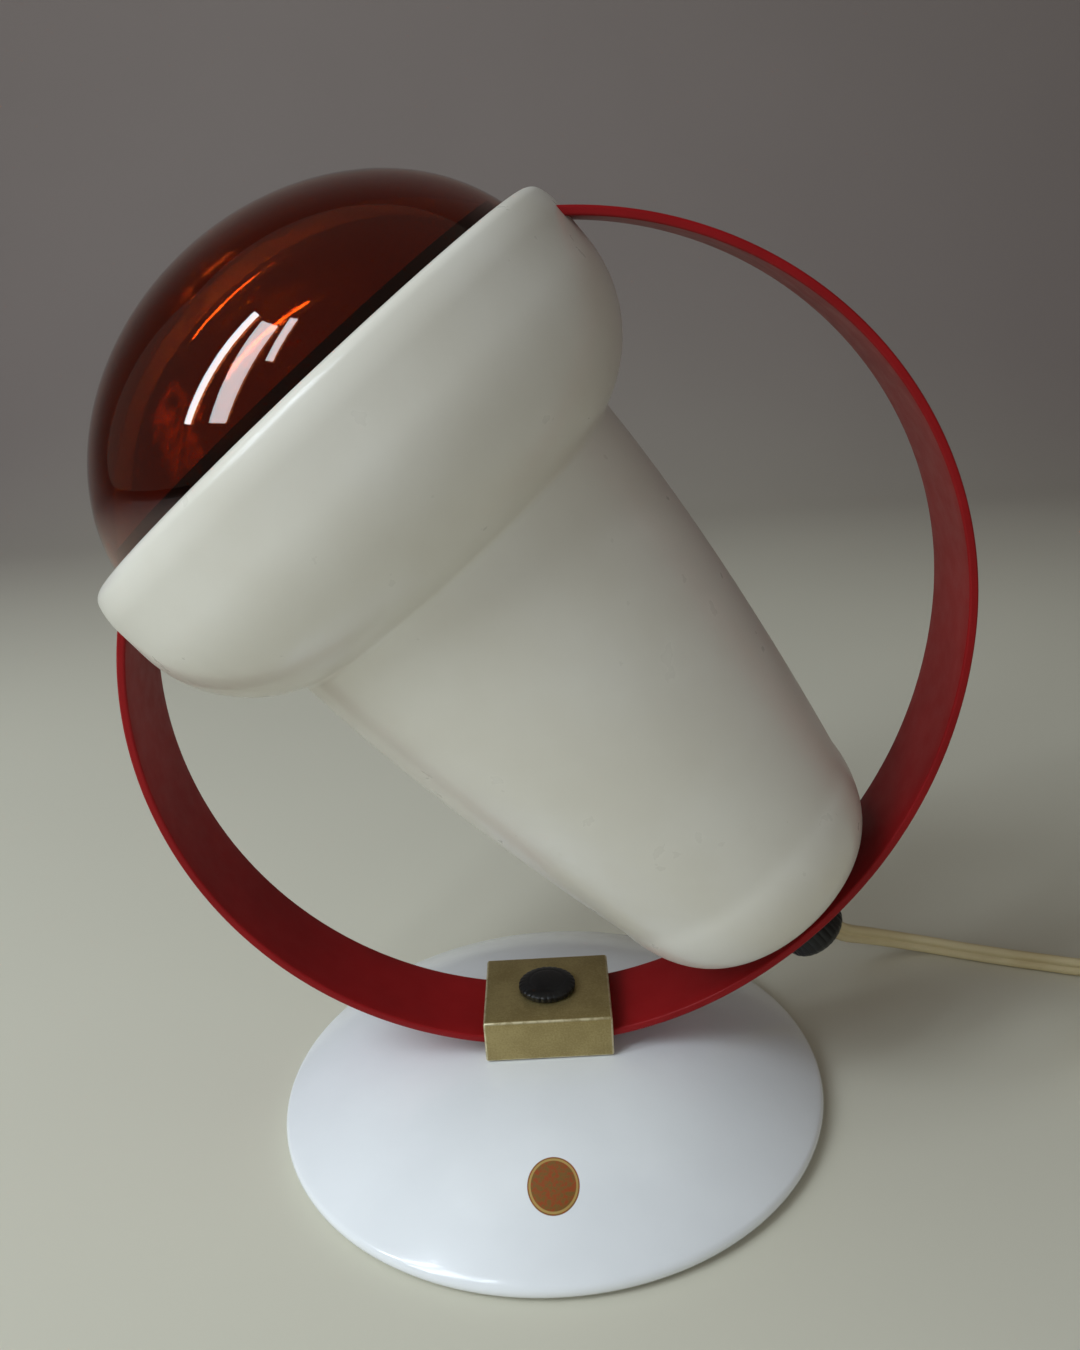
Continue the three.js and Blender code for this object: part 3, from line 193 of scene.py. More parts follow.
class Term:  # one value over a surface; a sum or product of Terms adds its Math nodes
    def __init__(self, finish, socket):
        self.finish = finish
        self.socket = socket

    def combine(self, operation, first, second):
        return self.finish.add("ShaderNodeMath", {"operation": operation}, {0: first, 1: second})

    def __add__(self, other):
        return self.combine("ADD", self, other)

    def __radd__(self, other):
        return self.combine("ADD", other, self)

    def __sub__(self, other):
        return self.combine("SUBTRACT", self, other)

    def __rsub__(self, other):
        return self.combine("SUBTRACT", other, self)

    def __mul__(self, other):
        return self.combine("MULTIPLY", self, other)

    def __rmul__(self, other):
        return self.combine("MULTIPLY", other, self)

    def __truediv__(self, other):
        return self.combine("DIVIDE", self, other)

    def __pow__(self, other):
        return self.combine("POWER", self, other)


class Finish:  # one material: its shader's constants, and the nodes that vary it
    def __init__(self, name, constants):
        self.material = bpy.data.materials.new(name)
        self.material.use_nodes = True
        self.tree = self.material.node_tree
        self.tree.nodes.clear()
        self.shader = self.tree.nodes.new("ShaderNodeBsdfPrincipled")
        output = self.tree.nodes.new("ShaderNodeOutputMaterial")
        self.tree.links.new(self.shader.outputs[0], output.inputs[0])
        for socket, value in constants.items():
            self.shader.inputs[socket].default_value = value

    def add(self, kind, settings, values, output=0):
        # a node of a kind: its settings first, then numbers, colours or links in its sockets
        node = self.tree.nodes.new(kind)
        for key, value in settings.items():
            setattr(node, key, value)
        for key, value in values.items():
            if isinstance(value, Term):
                self.tree.links.new(value.socket, node.inputs[key])
            else:
                node.inputs[key].default_value = value
        return Term(self, node.outputs[output])

    def drive(self, socket, term):
        self.tree.links.new(term.socket, self.shader.inputs[socket])

    def coordinates(self):
        return self.add("ShaderNodeTexCoord", {}, {}, "Object")

    def noise(self, grain, detail=2, roughness=0.5):
        # cloudy values round 0.5, with features about a grain across
        values = {"Vector": self.coordinates(), "Scale": 1 / grain, "Detail": detail, "Roughness": roughness}
        return self.add("ShaderNodeTexNoise", {}, values)

    def ramp(self, term, low, high, first=0, last=1):
        # low to high becomes first to last, smoothly, and stays there outside
        values = {0: term, 1: low, 2: high, 3: first, 4: last}
        return self.add("ShaderNodeMapRange", {"interpolation_type": "SMOOTHSTEP"}, values)

    def blendColours(self, share, first, second):
        values = {0: share, 6: first, 7: second}
        return self.add("ShaderNodeMix", {"data_type": "RGBA"}, values, 2)

    def specks(self, spacing, size, amount, softness=0.15):
        # small dots: a dot in the middle of some of the cells, one cell for each spacing
        cells = {"Vector": self.coordinates(), "Scale": 1 / spacing}
        distance = self.add("ShaderNodeTexVoronoi", {}, cells, "Distance")
        drawn = self.add("ShaderNodeTexVoronoi", {}, cells, "Color")
        lot = self.add("ShaderNodeSeparateColor", {}, {0: drawn})
        chosen = self.ramp(lot, 1 - amount, 1.001 - amount)
        radius = size / spacing
        return chosen * (1 - self.ramp(distance, radius * (1 - softness), radius * (1 + softness)))

    def bump(self, height, distance):
        inputs = {"Strength": 1.0, "Distance": distance, "Height": height}
        self.drive("Normal", self.add("ShaderNodeBump", {}, inputs))


# Camera, as the photograph was taken
cameraFacts = {
    "place": (0.008307, -0.273988, 0.218886), "turn": 1.017, "tilt": -19.326, "roll": -3.643, "lens": 31.269,
}


def makeCamera():
    data = bpy.data.cameras.new("camera")
    data.lens = cameraFacts["lens"]
    data.clip_start = 0.01
    camera = bpy.data.objects.new("camera", data)
    turn = Matrix.Rotation(math.radians(cameraFacts["turn"]), 4, "Z")
    tilt = Matrix.Rotation(math.radians(90 + cameraFacts["tilt"]), 4, "X")
    roll = Matrix.Rotation(math.radians(cameraFacts["roll"]), 4, "Z")
    camera.matrix_world = Matrix.Translation(cameraFacts["place"]) @ turn @ tilt @ roll
    bpy.context.scene.collection.objects.link(camera)
    bpy.context.scene.camera = camera


makeCamera()
print("camera set")


# Shade's own frame: its third axis runs from the middle of the mouth to the rear knob
hoop = {
    "width": 0.0263, "thickness": 0.00212, "round": 0.00055,
    "slideRadius": 0.09685, "backRadius": 0.11588, "topRadius": 0.09436,  # outer radii of its three arcs
    "slideEnd": -59.04, "backEnd": -2.96,  # degrees where the next arc takes over
    "lowest": 0.0236, "sink": 0.0004,
}
shade = {
    "wall": 0.0012, "lean": 51.73, "seatAngle": -47.45,
    "bellRadius": 0.0685, "bellStraight": 0.0165, "shoulder": 0.0315,
    "mouthRadius": 0.0676, "mouthRound": 0.0036, "rollEnd": 20,
    "coneRadius": 0.0484, "coneFront": 0.046203, "coneLength": 0.102097, "coneTaper": 0.012,
    "taperPower": 1.57, "endLength": 0.0259, "endAlongPower": 1.77, "endAcrossPower": 4.36,
    "crease": 0.0020, "spacerLength": 0.00539,
}


def pointAt(centre, radius, angle):
    turn = math.radians(angle)
    return np.array(centre) + radius * np.array([math.cos(turn), math.sin(turn)])


slideCentre = np.array([0, hoop["lowest"] + hoop["slideRadius"]])
backCentre = pointAt(slideCentre, hoop["slideRadius"] - hoop["backRadius"], hoop["slideEnd"])
topCentre = pointAt(backCentre, hoop["backRadius"] - hoop["topRadius"], hoop["backEnd"])
shadeEnd = shade["coneFront"] + shade["coneLength"] + shade["endLength"]
seatDepth = shadeEnd + shade["spacerLength"]
leanTurn = math.radians(shade["lean"])
shadeAxes = np.array([
    [-math.sin(leanTurn), 0, -math.cos(leanTurn)], [0, 1, 0], [math.cos(leanTurn), 0, -math.sin(leanTurn)],
])
seatSpot = pointAt(backCentre, hoop["backRadius"] - hoop["thickness"], shade["seatAngle"])
mouthSpot = np.array([seatSpot[0], 0, seatSpot[1]]) - shadeAxes[2] * seatDepth


def inShade(points):
    return mouthSpot + points @ shadeAxes


def toShade(points):
    return (points - mouthSpot) @ shadeAxes.T


def coneEndPoint(turn):
    # a quarter of a superellipse, from the cone's side at 0 degrees to its tip at 90
    along = np.sin(np.radians(turn)) ** (2 / shade["endAlongPower"])
    across = np.cos(np.radians(turn)) ** (2 / shade["endAcrossPower"])
    backRadius = shade["coneRadius"] - shade["coneTaper"]
    depth = shade["coneFront"] + shade["coneLength"] + shade["endLength"] * along
    return np.stack([backRadius * across, depth], -1)


# Cord: a flat twin cord on its edge, from the strain relief to the coil and on to the plug
cordFacts = {
    "width": 0.0058, "thickness": 0.0029, "web": 0.0013, "length": 1.731,
    "route": [
        (0.0804, 0.0379, 0.0346), (0.0838, 0.0414, 0.027), (0.088, 0.0456, 0.0195), (0.0936, 0.05, 0.013),
        (0.1034, 0.055, 0.0079), (0.1134, 0.0566, 0.0047), (0.1232, 0.0554, 0.003), (0.1316, 0.0517, 0.00295),
        (0.1399, 0.0482, 0.00295), (0.1481, 0.0449, 0.00295), (0.1563, 0.0419, 0.00295),
        (0.1644, 0.0389, 0.00295), (0.175, 0.0374, 0.003),
    ],
    "bendEnd": (0.100, 0.0347, 0.006),  # where the cord no longer follows the shade
}
coil = {
    "centre": (0.196, -0.006), "meanRadius": 0.034, "turns": 7.2083, "start": 75, "gap": 0.0007,
    "layerGap": 0.0009, "lift": 0.00095, "climb": 0.5,
}
relief = {
    "offset": 0.024, "baseRadius": 0.0053, "tipRadius": 0.0037, "length": 0.026,
    "flangeRadius": 0.0062, "flange": 0.0016, "sunk": 0.0026, "rings": 6, "groove": 0.0008, "edge": 0.0005,
}
plug = {
    "tail": 0.033, "drift": 0.0035, "reliefLength": 0.012, "reliefTip": 0.0036, "reliefRadius": 0.0046,
    "length": 0.036, "width": 0.0353, "rear": 0.013, "face": 0.027, "thickness": 0.0134, "round": 0.0026,
    "rearSlope": 0.015, "faceSlope": 0.009, "faceRoundShare": 0.6,
    "grooveDepth": 0.0005, "groovePitch": 0.0032, "groovesFrom": 0.001, "groovesTo": 0.004,
    "ringDepth": 0.0006, "ringPitch": 0.003, "reliefSunk": 0.003,
    "pinRadius": 0.002, "pinLength": 0.019, "pinSpread": 0.0093, "pinRound": 0.001, "pinInset": 0.00015,
    "sleeve": 0.009, "sleeveWall": 0.0001, "sleeveSunk": 0.0005,
}
reliefTurn = math.degrees(math.acos(
    (relief["offset"] / (shade["coneRadius"] - shade["coneTaper"])) ** (shade["endAcrossPower"] / 2)
))
reliefSeat, reliefAlong = coneEndPoint(np.array([reliefTurn, reliefTurn + 1]))
reliefLean = math.atan2(reliefAlong[1] - reliefSeat[1], reliefSeat[0] - reliefAlong[0])


def onRelief(points):
    # the strain relief's own frame, its third axis pointing out of the shade, in the row frame
    turn = np.array([
        [1, 0, 0],
        [0, math.cos(reliefLean), -math.sin(reliefLean)],
        [0, math.sin(reliefLean), math.cos(reliefLean)],
    ])
    return inShade(points @ turn + np.array([0, reliefSeat[0], reliefSeat[1]]))


def coilOut(angle):
    return np.array([math.sin(math.radians(angle)), -math.cos(math.radians(angle)), 0])


coilPitch = cordFacts["thickness"] + coil["gap"]
coilReach = coilPitch * coil["turns"] / 4
coilLow = coil["lift"] + cordFacts["width"] / 2
coilHigh = coilLow + cordFacts["width"] + coil["layerGap"]
coilEnd = coil["start"] - 360 * coil["turns"]


def coilPath():
    # the radius falls by a pitch each turn to the middle and grows again, while the angle runs on.
    # Half-way, the height climbs from the lower layer to the upper one.
    turn = np.linspace(0, coil["turns"], 720)
    angle = np.radians(coil["start"] - 360 * turn)
    radius = coil["meanRadius"] - coilReach + coilPitch * np.abs(turn - coil["turns"] / 2)
    climb = np.clip((turn - coil["turns"] / 2) / coil["climb"] + 0.5, 0, 1)
    return np.column_stack([
        coil["centre"][0] + radius * np.cos(angle),
        coil["centre"][1] + radius * np.sin(angle),
        coilLow + (coilHigh - coilLow) * climb,
    ])


coilTurns = coilPath()
coilEntry = coilTurns[0] - coilOut(coil["start"]) * cordFacts["width"]
coilExit = coilTurns[-1] + coilOut(coilEnd) * cordFacts["width"]
plugEntry = coilExit + coilOut(coilEnd) * plug["tail"] + coilOut(coilEnd + 90) * plug["drift"]
plugEntry[2] = plug["thickness"] / 2
reliefTip = onRelief(np.array([0, 0, relief["length"]]))


def cordPath():
    beforeCoil = coilEntry - coilOut(coil["start"]) * 2 * cordFacts["width"]
    free = throughKnots([reliefTip, *cordFacts["route"], beforeCoil, coilEntry], 24)
    leave = coilExit + coilOut(coilEnd) * cordFacts["width"]
    arrive = plugEntry - coilOut(coilEnd) * cordFacts["width"]
    tail = throughKnots([coilExit, leave, arrive, plugEntry], 12)
    return evenly(np.vstack([free[:-1], coilEntry, coilTurns, tail]), 0.0024)


def cordSection():
    # two round cores side by side, joined by a thin web: the flat cord on its edge
    core = cordFacts["thickness"] / 2
    opening = math.degrees(math.acos(cordFacts["web"] / 2 / core))
    upper = arcLine([0, core], core, -opening, 180 + opening, 12)
    lower = arcLine([0, -core], core, 180 - opening, 360 + opening, 12)
    return np.vstack([upper, lower])


def makeCord():
    path = cordPath()
    cord = makePiece("cord", surface(closedEnds(alongPath(path, cordSection()))), sharpFrom=80)
    cord.data.materials.append(finishes["cream_plastic"].material)
    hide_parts("cord_drop", "cord_run", "cord_coil", "cord_tail")
    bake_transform(cord)
    return cord, path


def makeRelief():
    # a flange, and a taper with rings pressed into it: each ring's depth is a narrow wave along it
    height = np.linspace(relief["flange"], relief["length"], 120)
    share = (height - height[0]) / (height[-1] - height[0])
    waves = np.clip(np.cos(2 * np.pi * relief["rings"] * share), 0, 1) ** 2
    depth = -relief["groove"] * waves * np.clip(np.sin(np.pi * share) * 4 - 0.4, 0, 1)
    radius = relief["baseRadius"] + (relief["tipRadius"] - relief["baseRadius"]) * share + depth
    edge = relief["edge"]
    flange = arcLine([relief["flangeRadius"] - edge, relief["flange"] - edge], edge, 0, 90, 5)
    tip = arcLine([relief["tipRadius"] - edge, relief["length"] - edge], edge, 0, 90, 5)
    side = np.column_stack([radius, height])[:-4]
    foot = np.array([[0, -relief["sunk"]], [relief["flangeRadius"], -relief["sunk"]]])
    profile = np.vstack([foot, flange, side, tip, [[0, relief["length"]]]])
    thing = makePiece("strainRelief", surface(onRelief(turnedPoints(profile, 40))))
    place(thing, "hoop", "cream_plastic", "strain_relief")


def onPlug(points):
    # the plug's own frame: along its pins, across, and up from the floor
    out = coilOut(coilEnd)
    axes = np.array([out, np.cross([0, 0, 1], out), [0, 0, 1]])
    return np.array([plugEntry[0], plugEntry[1], 0]) + points @ axes


def easedEnd(distance, reach):
    # how far a side is drawn in near an end: a quarter circle of that reach
    return reach * (1 - np.sqrt(1 - np.clip(1 - distance / reach, 0, 1) ** 2))


def plugTurned(name, profile, sides, spot):
    # a profile [radius, distance] carried round the plug's length, at a spot in the plug's frame
    return makePiece(name, surface(onPlug(turnedPoints(profile, sides)[..., [2, 0, 1]] + spot)))


def makePlug():
    # the body is a rounded rectangle whose half width follows an outline of three straight runs,
    # eased at both ends, with finger grooves across its middle
    rear, face = plug["reliefLength"], plug["reliefLength"] + plug["length"]
    x = rear + (face - rear) * np.linspace(0, 1, 90)
    knots = [rear, rear + plug["rearSlope"], face - plug["faceSlope"], face]
    outline = np.interp(x, knots, [plug["rear"] / 2, plug["width"] / 2, plug["width"] / 2, plug["face"] / 2])
    softer = np.convolve(np.pad(outline, 6, "edge"), np.ones(13) / 13, "valid")
    grooves = plug["grooveDepth"] * np.clip(np.cos((x - x[0]) * 2 * np.pi / plug["groovePitch"]), 0, 1)
    grooves *= (x > knots[1] - plug["groovesFrom"]) & (x < knots[2] - plug["groovesTo"])
    ease = easedEnd(x - rear, plug["round"]) + easedEnd(face - x, plug["round"] * plug["faceRoundShare"])
    loops = roundedLoop(softer - ease - grooves, ease, plug["thickness"] - ease, plug["round"], 7, 3)
    body = np.concatenate([np.broadcast_to(x[:, None, None], (*loops.shape[:2], 1)), loops], -1)
    # its relief is a taper with rings pressed into it
    height = np.linspace(0, rear + plug["reliefSunk"], 60)
    share = height / height[-1]
    wave = np.clip(np.cos(2 * np.pi * (height / plug["ringPitch"] - 0.5)), 0, 1) ** 2
    rings = plug["ringDepth"] * wave * (share > 0.1)
    taper = plug["reliefTip"] + (plug["reliefRadius"] - plug["reliefTip"]) * share - rings
    profile = np.vstack([[[0, 0]], np.column_stack([taper, height]), [[0, height[-1]]]])
    stem = turnedPoints(profile, 36)[..., [2, 0, 1]] + np.array([0, 0, plug["thickness"] / 2])
    thing = makePiece("plugBody", surface(closedEnds(onPlug(body))), surface(onPlug(stem)))
    pieces = [place(thing, "base", "cream_plastic", "plug_body")]
    # a pin is thinner inside its sleeve, and round at its tip
    radius, tipRound, sleeve = plug["pinRadius"], plug["pinRound"], plug["sleeve"]
    inset, wall, sunk = plug["pinInset"], plug["sleeveWall"], plug["sleeveSunk"]
    pinLine = np.vstack([
        [[0, 0], [radius - inset, 0], [radius - inset, sleeve], [radius, sleeve]],
        arcLine([radius - tipRound, plug["pinLength"] - tipRound], tipRound, 0, 90, 6),
        [[0, plug["pinLength"]]],
    ])
    sleeveLine = np.array([
        [0, -sunk], [radius + wall, -sunk], [radius + wall, sleeve - 2 * wall], [radius - wall, sleeve],
        [0, sleeve],
    ])
    for name, side in [("left", 1), ("right", -1)]:
        spot = np.array([face, side * plug["pinSpread"], plug["thickness"] / 2])
        pinName = "plugPin" + name.capitalize()
        pin = plugTurned(pinName, pinLine, 28, spot)
        cover = plugTurned(pinName + "Sleeve", sleeveLine, 28, spot)
        pieces.append(place(pin, "base", "nickel_plate", "plug_pin_" + name))
        pieces.append(place(cover, "base", "black_plastic"))
    return pieces


tie = {
    "width": 0.008, "thickness": 0.0006, "room": 0.0008, "lift": 0.0003, "angle": 215, "corner": 0.0015,
    "edge": 0.00025,
}


def makeTie():
    # a strap round the coil: a small rounded section carried round a rounded rectangle
    inside = coil["meanRadius"] - coilReach - cordFacts["thickness"] / 2 - tie["room"]
    outside = coil["meanRadius"] + coilReach + cordFacts["thickness"] / 2 + tie["room"]
    low, high = coil["lift"] - tie["lift"], coilHigh + cordFacts["width"] / 2 + tie["lift"]
    loop = roundedLoop((outside - inside) / 2, low, high, tie["corner"], 9, 12)
    outwards = shifted(np.vstack([loop[-1:], loop, loop[:1]]), -1)[1:-1] - loop
    section = roundedLoop(tie["width"] / 2, 0, tie["thickness"], tie["edge"], 4, 3)
    spots = loop[:, None] + outwards[:, None] * section[:, 1:]
    turn = math.radians(tie["angle"])
    radial = np.array([math.cos(turn), math.sin(turn), 0])
    sideways = np.array([-math.sin(turn), math.cos(turn), 0])
    middle = np.array([*coil["centre"], 0]) + radial * (inside + outside) / 2
    points = middle + spots[..., :1] * radial + spots[..., 1:] * np.array([0, 0, 1])
    thing = makePiece("coilTie", surface(points + section[:, :1] * sideways, ringRows=True))
    return place(thing, "base", "cream_plastic", "coil_tie")


# Finishes: each has its own colours, and detail at the scale that the real one shows

def enamel(name, paint):
    # sprayed and baked enamel: faint orange peel, slow drifts of tone, a few dark specks
    finish = Finish(name, {"Specular IOR Level": paint["specular"], "Coat Roughness": 0.06})
    toned = finish.ramp(finish.noise(paint["drift"], 3), 0.3, 0.7)
    colour = finish.blendColours(toned, paint["colour"], paint["toned"])
    specks = finish.specks(paint["speckSpacing"], paint["speckSize"], paint["speckShare"])
    colour = finish.blendColours(specks * 0.7, colour, paint["speckColour"])
    cloud = finish.noise(paint["drift"] / 4, 4)
    rough = finish.ramp(cloud, 0.25, 0.75, paint["gloss"], paint["gloss"] + 0.09)
    coat = finish.ramp(finish.noise(paint["drift"] / 2, 2), 0.3, 0.7, paint["coat"], paint["coat"] * 0.8)
    if "badge" in paint:
        mask, plate = badgeLook(finish, paint["badge"])
        colour = finish.blendColours(mask, colour, plate)
        rough = rough + mask * 0.2
        finish.drive("Metallic", mask * 0.6)
    finish.drive("Base Color", colour)
    finish.drive("Roughness", rough)
    finish.drive("Coat Weight", coat)
    finish.bump(finish.noise(paint["peel"], 1), paint["peelDepth"])
    return finish


def badgeLook(finish, spot):
    # an oval of worn copper with a gold line inside its rim; out runs from 0 in its middle to 1 at its rim
    where = finish.coordinates()
    x = (finish.add("ShaderNodeSeparateXYZ", {}, {0: where}, "X") - spot["x"]) / spot["halfWidth"]
    y = (finish.add("ShaderNodeSeparateXYZ", {}, {0: where}, "Y") - spot["y"]) / spot["halfHeight"]
    out = (x * x + y * y) ** 0.5
    line = finish.ramp(out, *spot["lineFrom"]) - finish.ramp(out, *spot["lineTo"])
    worn = finish.ramp(finish.noise(spot["wear"], 3), 0.35, 0.62)
    copper = finish.blendColours(worn, spot["copper"], spot["copperWorn"])
    return 1 - finish.ramp(out, spot["rim"], 1.0), finish.blendColours(line, copper, spot["gold"])


def metal(name, facts):
    # plated, cast or drawn metal: grain in colour and gloss, and a fine tooth in the surface
    finish = Finish(name, {"Metallic": facts["metallic"], **facts.get("glow", {})})
    grain = finish.noise(facts["grain"], 4, 0.6)
    mixed = finish.ramp(grain * 0.6 + finish.noise(facts["drift"], 3) * 0.4, 0.35, 0.65)
    colour = finish.blendColours(mixed, facts["dark"], facts["light"])
    if "edge" in facts:
        worn = finish.add("ShaderNodeAttribute", {"attribute_name": "edgeWear"}, {}, "Fac")
        patchy = worn * finish.ramp(finish.noise(0.002, 3), 0.3, 0.6, 0.35, 1)
        colour = finish.blendColours(patchy, colour, facts["edge"])
    roughest = facts["gloss"] + facts.get("rougher", 0.12)
    finish.drive("Base Color", colour)
    finish.drive("Roughness", finish.ramp(grain, 0.3, 0.7, facts["gloss"], roughest))
    finish.bump(grain, facts["depth"])
    return finish


def plastic(name, facts):
    # moulded plastic, rubber or glaze: a fine mat grain and slow drifts of tone
    finish = Finish(name, {"Specular IOR Level": facts.get("specular", 0.5)})
    grain = finish.noise(facts["grain"], 3)
    drift = finish.noise(facts["drift"], 3)
    mixed = drift * 0.5 + grain * 0.5
    colour = finish.blendColours(finish.ramp(drift, 0.3, 0.7), facts["dark"], facts["light"])
    finish.drive("Base Color", colour)
    finish.drive("Roughness", finish.ramp(mixed, 0.35, 0.65, facts["gloss"], facts["gloss"] + 0.15))
    finish.bump(grain, facts["depth"])
    return finish


def glass(name, facts):
    # clear glass, coloured in its mass: the tone drifts a little, and the surface is faintly wavy
    finish = Finish(name, {"Transmission Weight": 1.0, "IOR": 1.5})
    drift = finish.noise(facts["drift"], 2)
    toned = finish.ramp(drift, 0.25, 0.75)
    finish.drive("Base Color", finish.blendColours(toned, facts["light"], facts["dark"]))
    finish.drive("Roughness", finish.ramp(drift, 0.3, 0.7, 0.0, 0.015))
    finish.bump(finish.noise(facts["wave"], 1), facts["depth"])
    return finish


def named(keys, rows):
    # each row of values as a dictionary with the same keys
    return {name: dict(zip(keys, row)) for name, row in rows.items()}


badge = {
    "x": -0.0001, "y": -0.0532, "halfWidth": 0.0063, "halfHeight": 0.0068, "rim": 0.97, "wear": 0.0009,
    "lineFrom": (0.84, 0.87), "lineTo": (0.92, 0.95),
    "copper": tint(176, 84, 42), "copperWorn": tint(140, 104, 52), "gold": tint(206, 172, 102),
}
enamels = {
    "white_enamel": {
        "colour": tint(236, 238, 239), "toned": tint(230, 232, 233), "drift": 0.03, "gloss": 0.16,
        "coat": 0.4, "specular": 0.5, "peel": 0.0022, "peelDepth": 0.00002, "speckSpacing": 0.024,
        "speckSize": 0.00016, "speckShare": 0.1, "speckColour": tint(70, 62, 52), "badge": badge,
    },
    "cream_enamel": {
        "colour": tint(221, 217, 205), "toned": tint(215, 210, 196), "drift": 0.035, "gloss": 0.27,
        "coat": 0.2, "specular": 0.5, "peel": 0.0018, "peelDepth": 0.00002, "speckSpacing": 0.024,
        "speckSize": 0.00018, "speckShare": 0.1, "speckColour": tint(54, 46, 36),
    },
    "red_enamel": {
        "colour": tint(140, 15, 19), "toned": tint(131, 12, 16), "drift": 0.02, "gloss": 0.42,
        "coat": 0.0, "specular": 0.22, "peel": 0.0014, "peelDepth": 0.00002, "speckSpacing": 0.010,
        "speckSize": 0.0002, "speckShare": 0.05, "speckColour": tint(70, 8, 12),
    },
}
metals = named(("metallic", "dark", "light", "grain", "drift", "gloss", "depth"), {
    "cast_iron": (0.5, tint(48, 48, 50), tint(74, 73, 72), 0.0012, 0.02, 0.62, 0.00015),
    "zinc_steel": (0.95, tint(148, 150, 152), tint(188, 189, 188), 0.0006, 0.006, 0.28, 0.00002),
    "satin_gold": (0.80, tint(158, 140, 92), tint(184, 166, 115), 0.0005, 0.008, 0.40, 0.00003),
    "silvering": (1.0, tint(226, 222, 216), tint(240, 238, 234), 0.016, 0.03, 0.03, 0.0004),
    "brass": (0.95, tint(170, 130, 60), tint(206, 168, 92), 0.0008, 0.006, 0.26, 0.00002),
    "nickel_plate": (1.0, tint(176, 174, 168), tint(206, 204, 198), 0.0008, 0.006, 0.16, 0.00001),
    "tungsten": (0.9, tint(92, 88, 84), tint(150, 146, 140), 0.0004, 0.004, 0.35, 0.00002),
})
metals["satin_gold"]["edge"] = tint(232, 222, 186)
metals["silvering"]["rougher"] = 0.06
glow = {"Emission Color": (1.0, 0.55, 0.15, 1), "Emission Strength": 1800}
metals["hot_tungsten"] = {**metals["tungsten"], "glow": glow}
plastics = named(("dark", "light", "grain", "drift", "gloss", "depth"), {
    "black_plastic": (tint(10, 10, 11), tint(19, 19, 20), 0.0004, 0.003, 0.30, 0.00002),
    "black_rubber": (tint(26, 26, 26), tint(42, 41, 40), 0.0007, 0.01, 0.72, 0.00006),
    "cream_plastic": (tint(206, 188, 142), tint(218, 203, 160), 0.0006, 0.02, 0.42, 0.00002),
    "porcelain": (tint(226, 221, 208), tint(236, 232, 222), 0.003, 0.02, 0.10, 0.00003),
    "blue_lead": (tint(36, 70, 130), tint(52, 88, 150), 0.0006, 0.01, 0.40, 0.00002),
    "brown_lead": (tint(80, 50, 30), tint(104, 68, 42), 0.0006, 0.01, 0.40, 0.00002),
})
plastics["black_plastic"]["specular"] = 0.4
glasses = named(("light", "dark", "drift", "wave", "depth"), {  # both tones are what one face lets through
    "red_glass": ((0.52, 0.13, 0.03, 1), (0.42, 0.085, 0.02, 1), 0.05, 0.03, 0.00004),
    "clear_glass": ((0.95, 0.97, 0.95, 1), (0.90, 0.93, 0.90, 1), 0.01, 0.006, 0.00002),
})
finishes = {}
for kind, family in [(enamel, enamels), (metal, metals), (plastic, plastics), (glass, glasses)]:
    for slotName, facts in family.items():
        first, *others = slotName.split("_")
        finishes[slotName] = kind(first + "".join(map(str.capitalize, others)) + "Look", facts)
print("finishes made:", len(finishes))

# Cord first, because it decides how far the model reaches
cord, cordLine = makeCord()
makeRelief()
cordEnds = [*makePlug(), makeTie()]
print("cord laid:", round(lengthOf(cordLine), 4), "m")


# Base
base = {
    "radius": 0.074, "height": 0.0202, "wall": 0.0015, "edgeRound": 0.0022, "edgeLift": 0.0007,
    "lipReach": 0.0011, "flatRadius": 0.020,
}


def makeBase():
    # a flat middle, then a dome that falls with the square of the distance, and a round edge rolled under
    edgeCentre = [base["radius"] - base["edgeRound"], base["edgeLift"] + base["edgeRound"]]
    slope = 2 * (base["height"] - edgeCentre[1]) / (edgeCentre[0] - base["flatRadius"])
    edgeTurn = 90 - math.degrees(math.atan(slope))
    foot = pointAt(edgeCentre, base["edgeRound"], edgeTurn)
    share = np.linspace(0, 1, 48)
    dome = np.column_stack([
        base["flatRadius"] + (foot[0] - base["flatRadius"]) * share,
        foot[1] + (base["height"] - foot[1]) * (1 - share ** 2),
    ])
    middle = np.column_stack([np.linspace(0, base["flatRadius"], 8)[:-1], np.full(7, base["height"])])
    edge = arcLine(edgeCentre, base["edgeRound"], edgeTurn, -90, 16)[1:]
    lip = edgeCentre[0] - base["lipReach"]
    outer = np.vstack([middle, dome, edge, [[lip, base["edgeLift"]]]])
    innerEdge = arcLine(edgeCentre, base["edgeRound"] - base["wall"], edgeTurn, -90, 8)[1:]
    inner = np.vstack([middle - [0, base["wall"]], shifted(dome, -base["wall"]), innerEdge])
    inner = np.vstack([inner, [[lip, base["edgeLift"] + base["wall"]]]])
    profile = np.vstack([outer, inner[::-1]])
    thing = makePiece("baseDome", surface(turnedPoints(profile, 160)))
    place(thing, "base", "white_enamel", "base_shell")


makeBase()

# Clamp block, with the curved slot that the hoop runs through
block = {
    "length": 0.034, "width": 0.030, "bottom": 0.0205, "height": 0.0118, "edge": 0.00065,
    "slotEdge": 0.0003, "slotRoom": 0.00035, "slotCorner": 0.0003, "leastCorner": 0.0002,
}


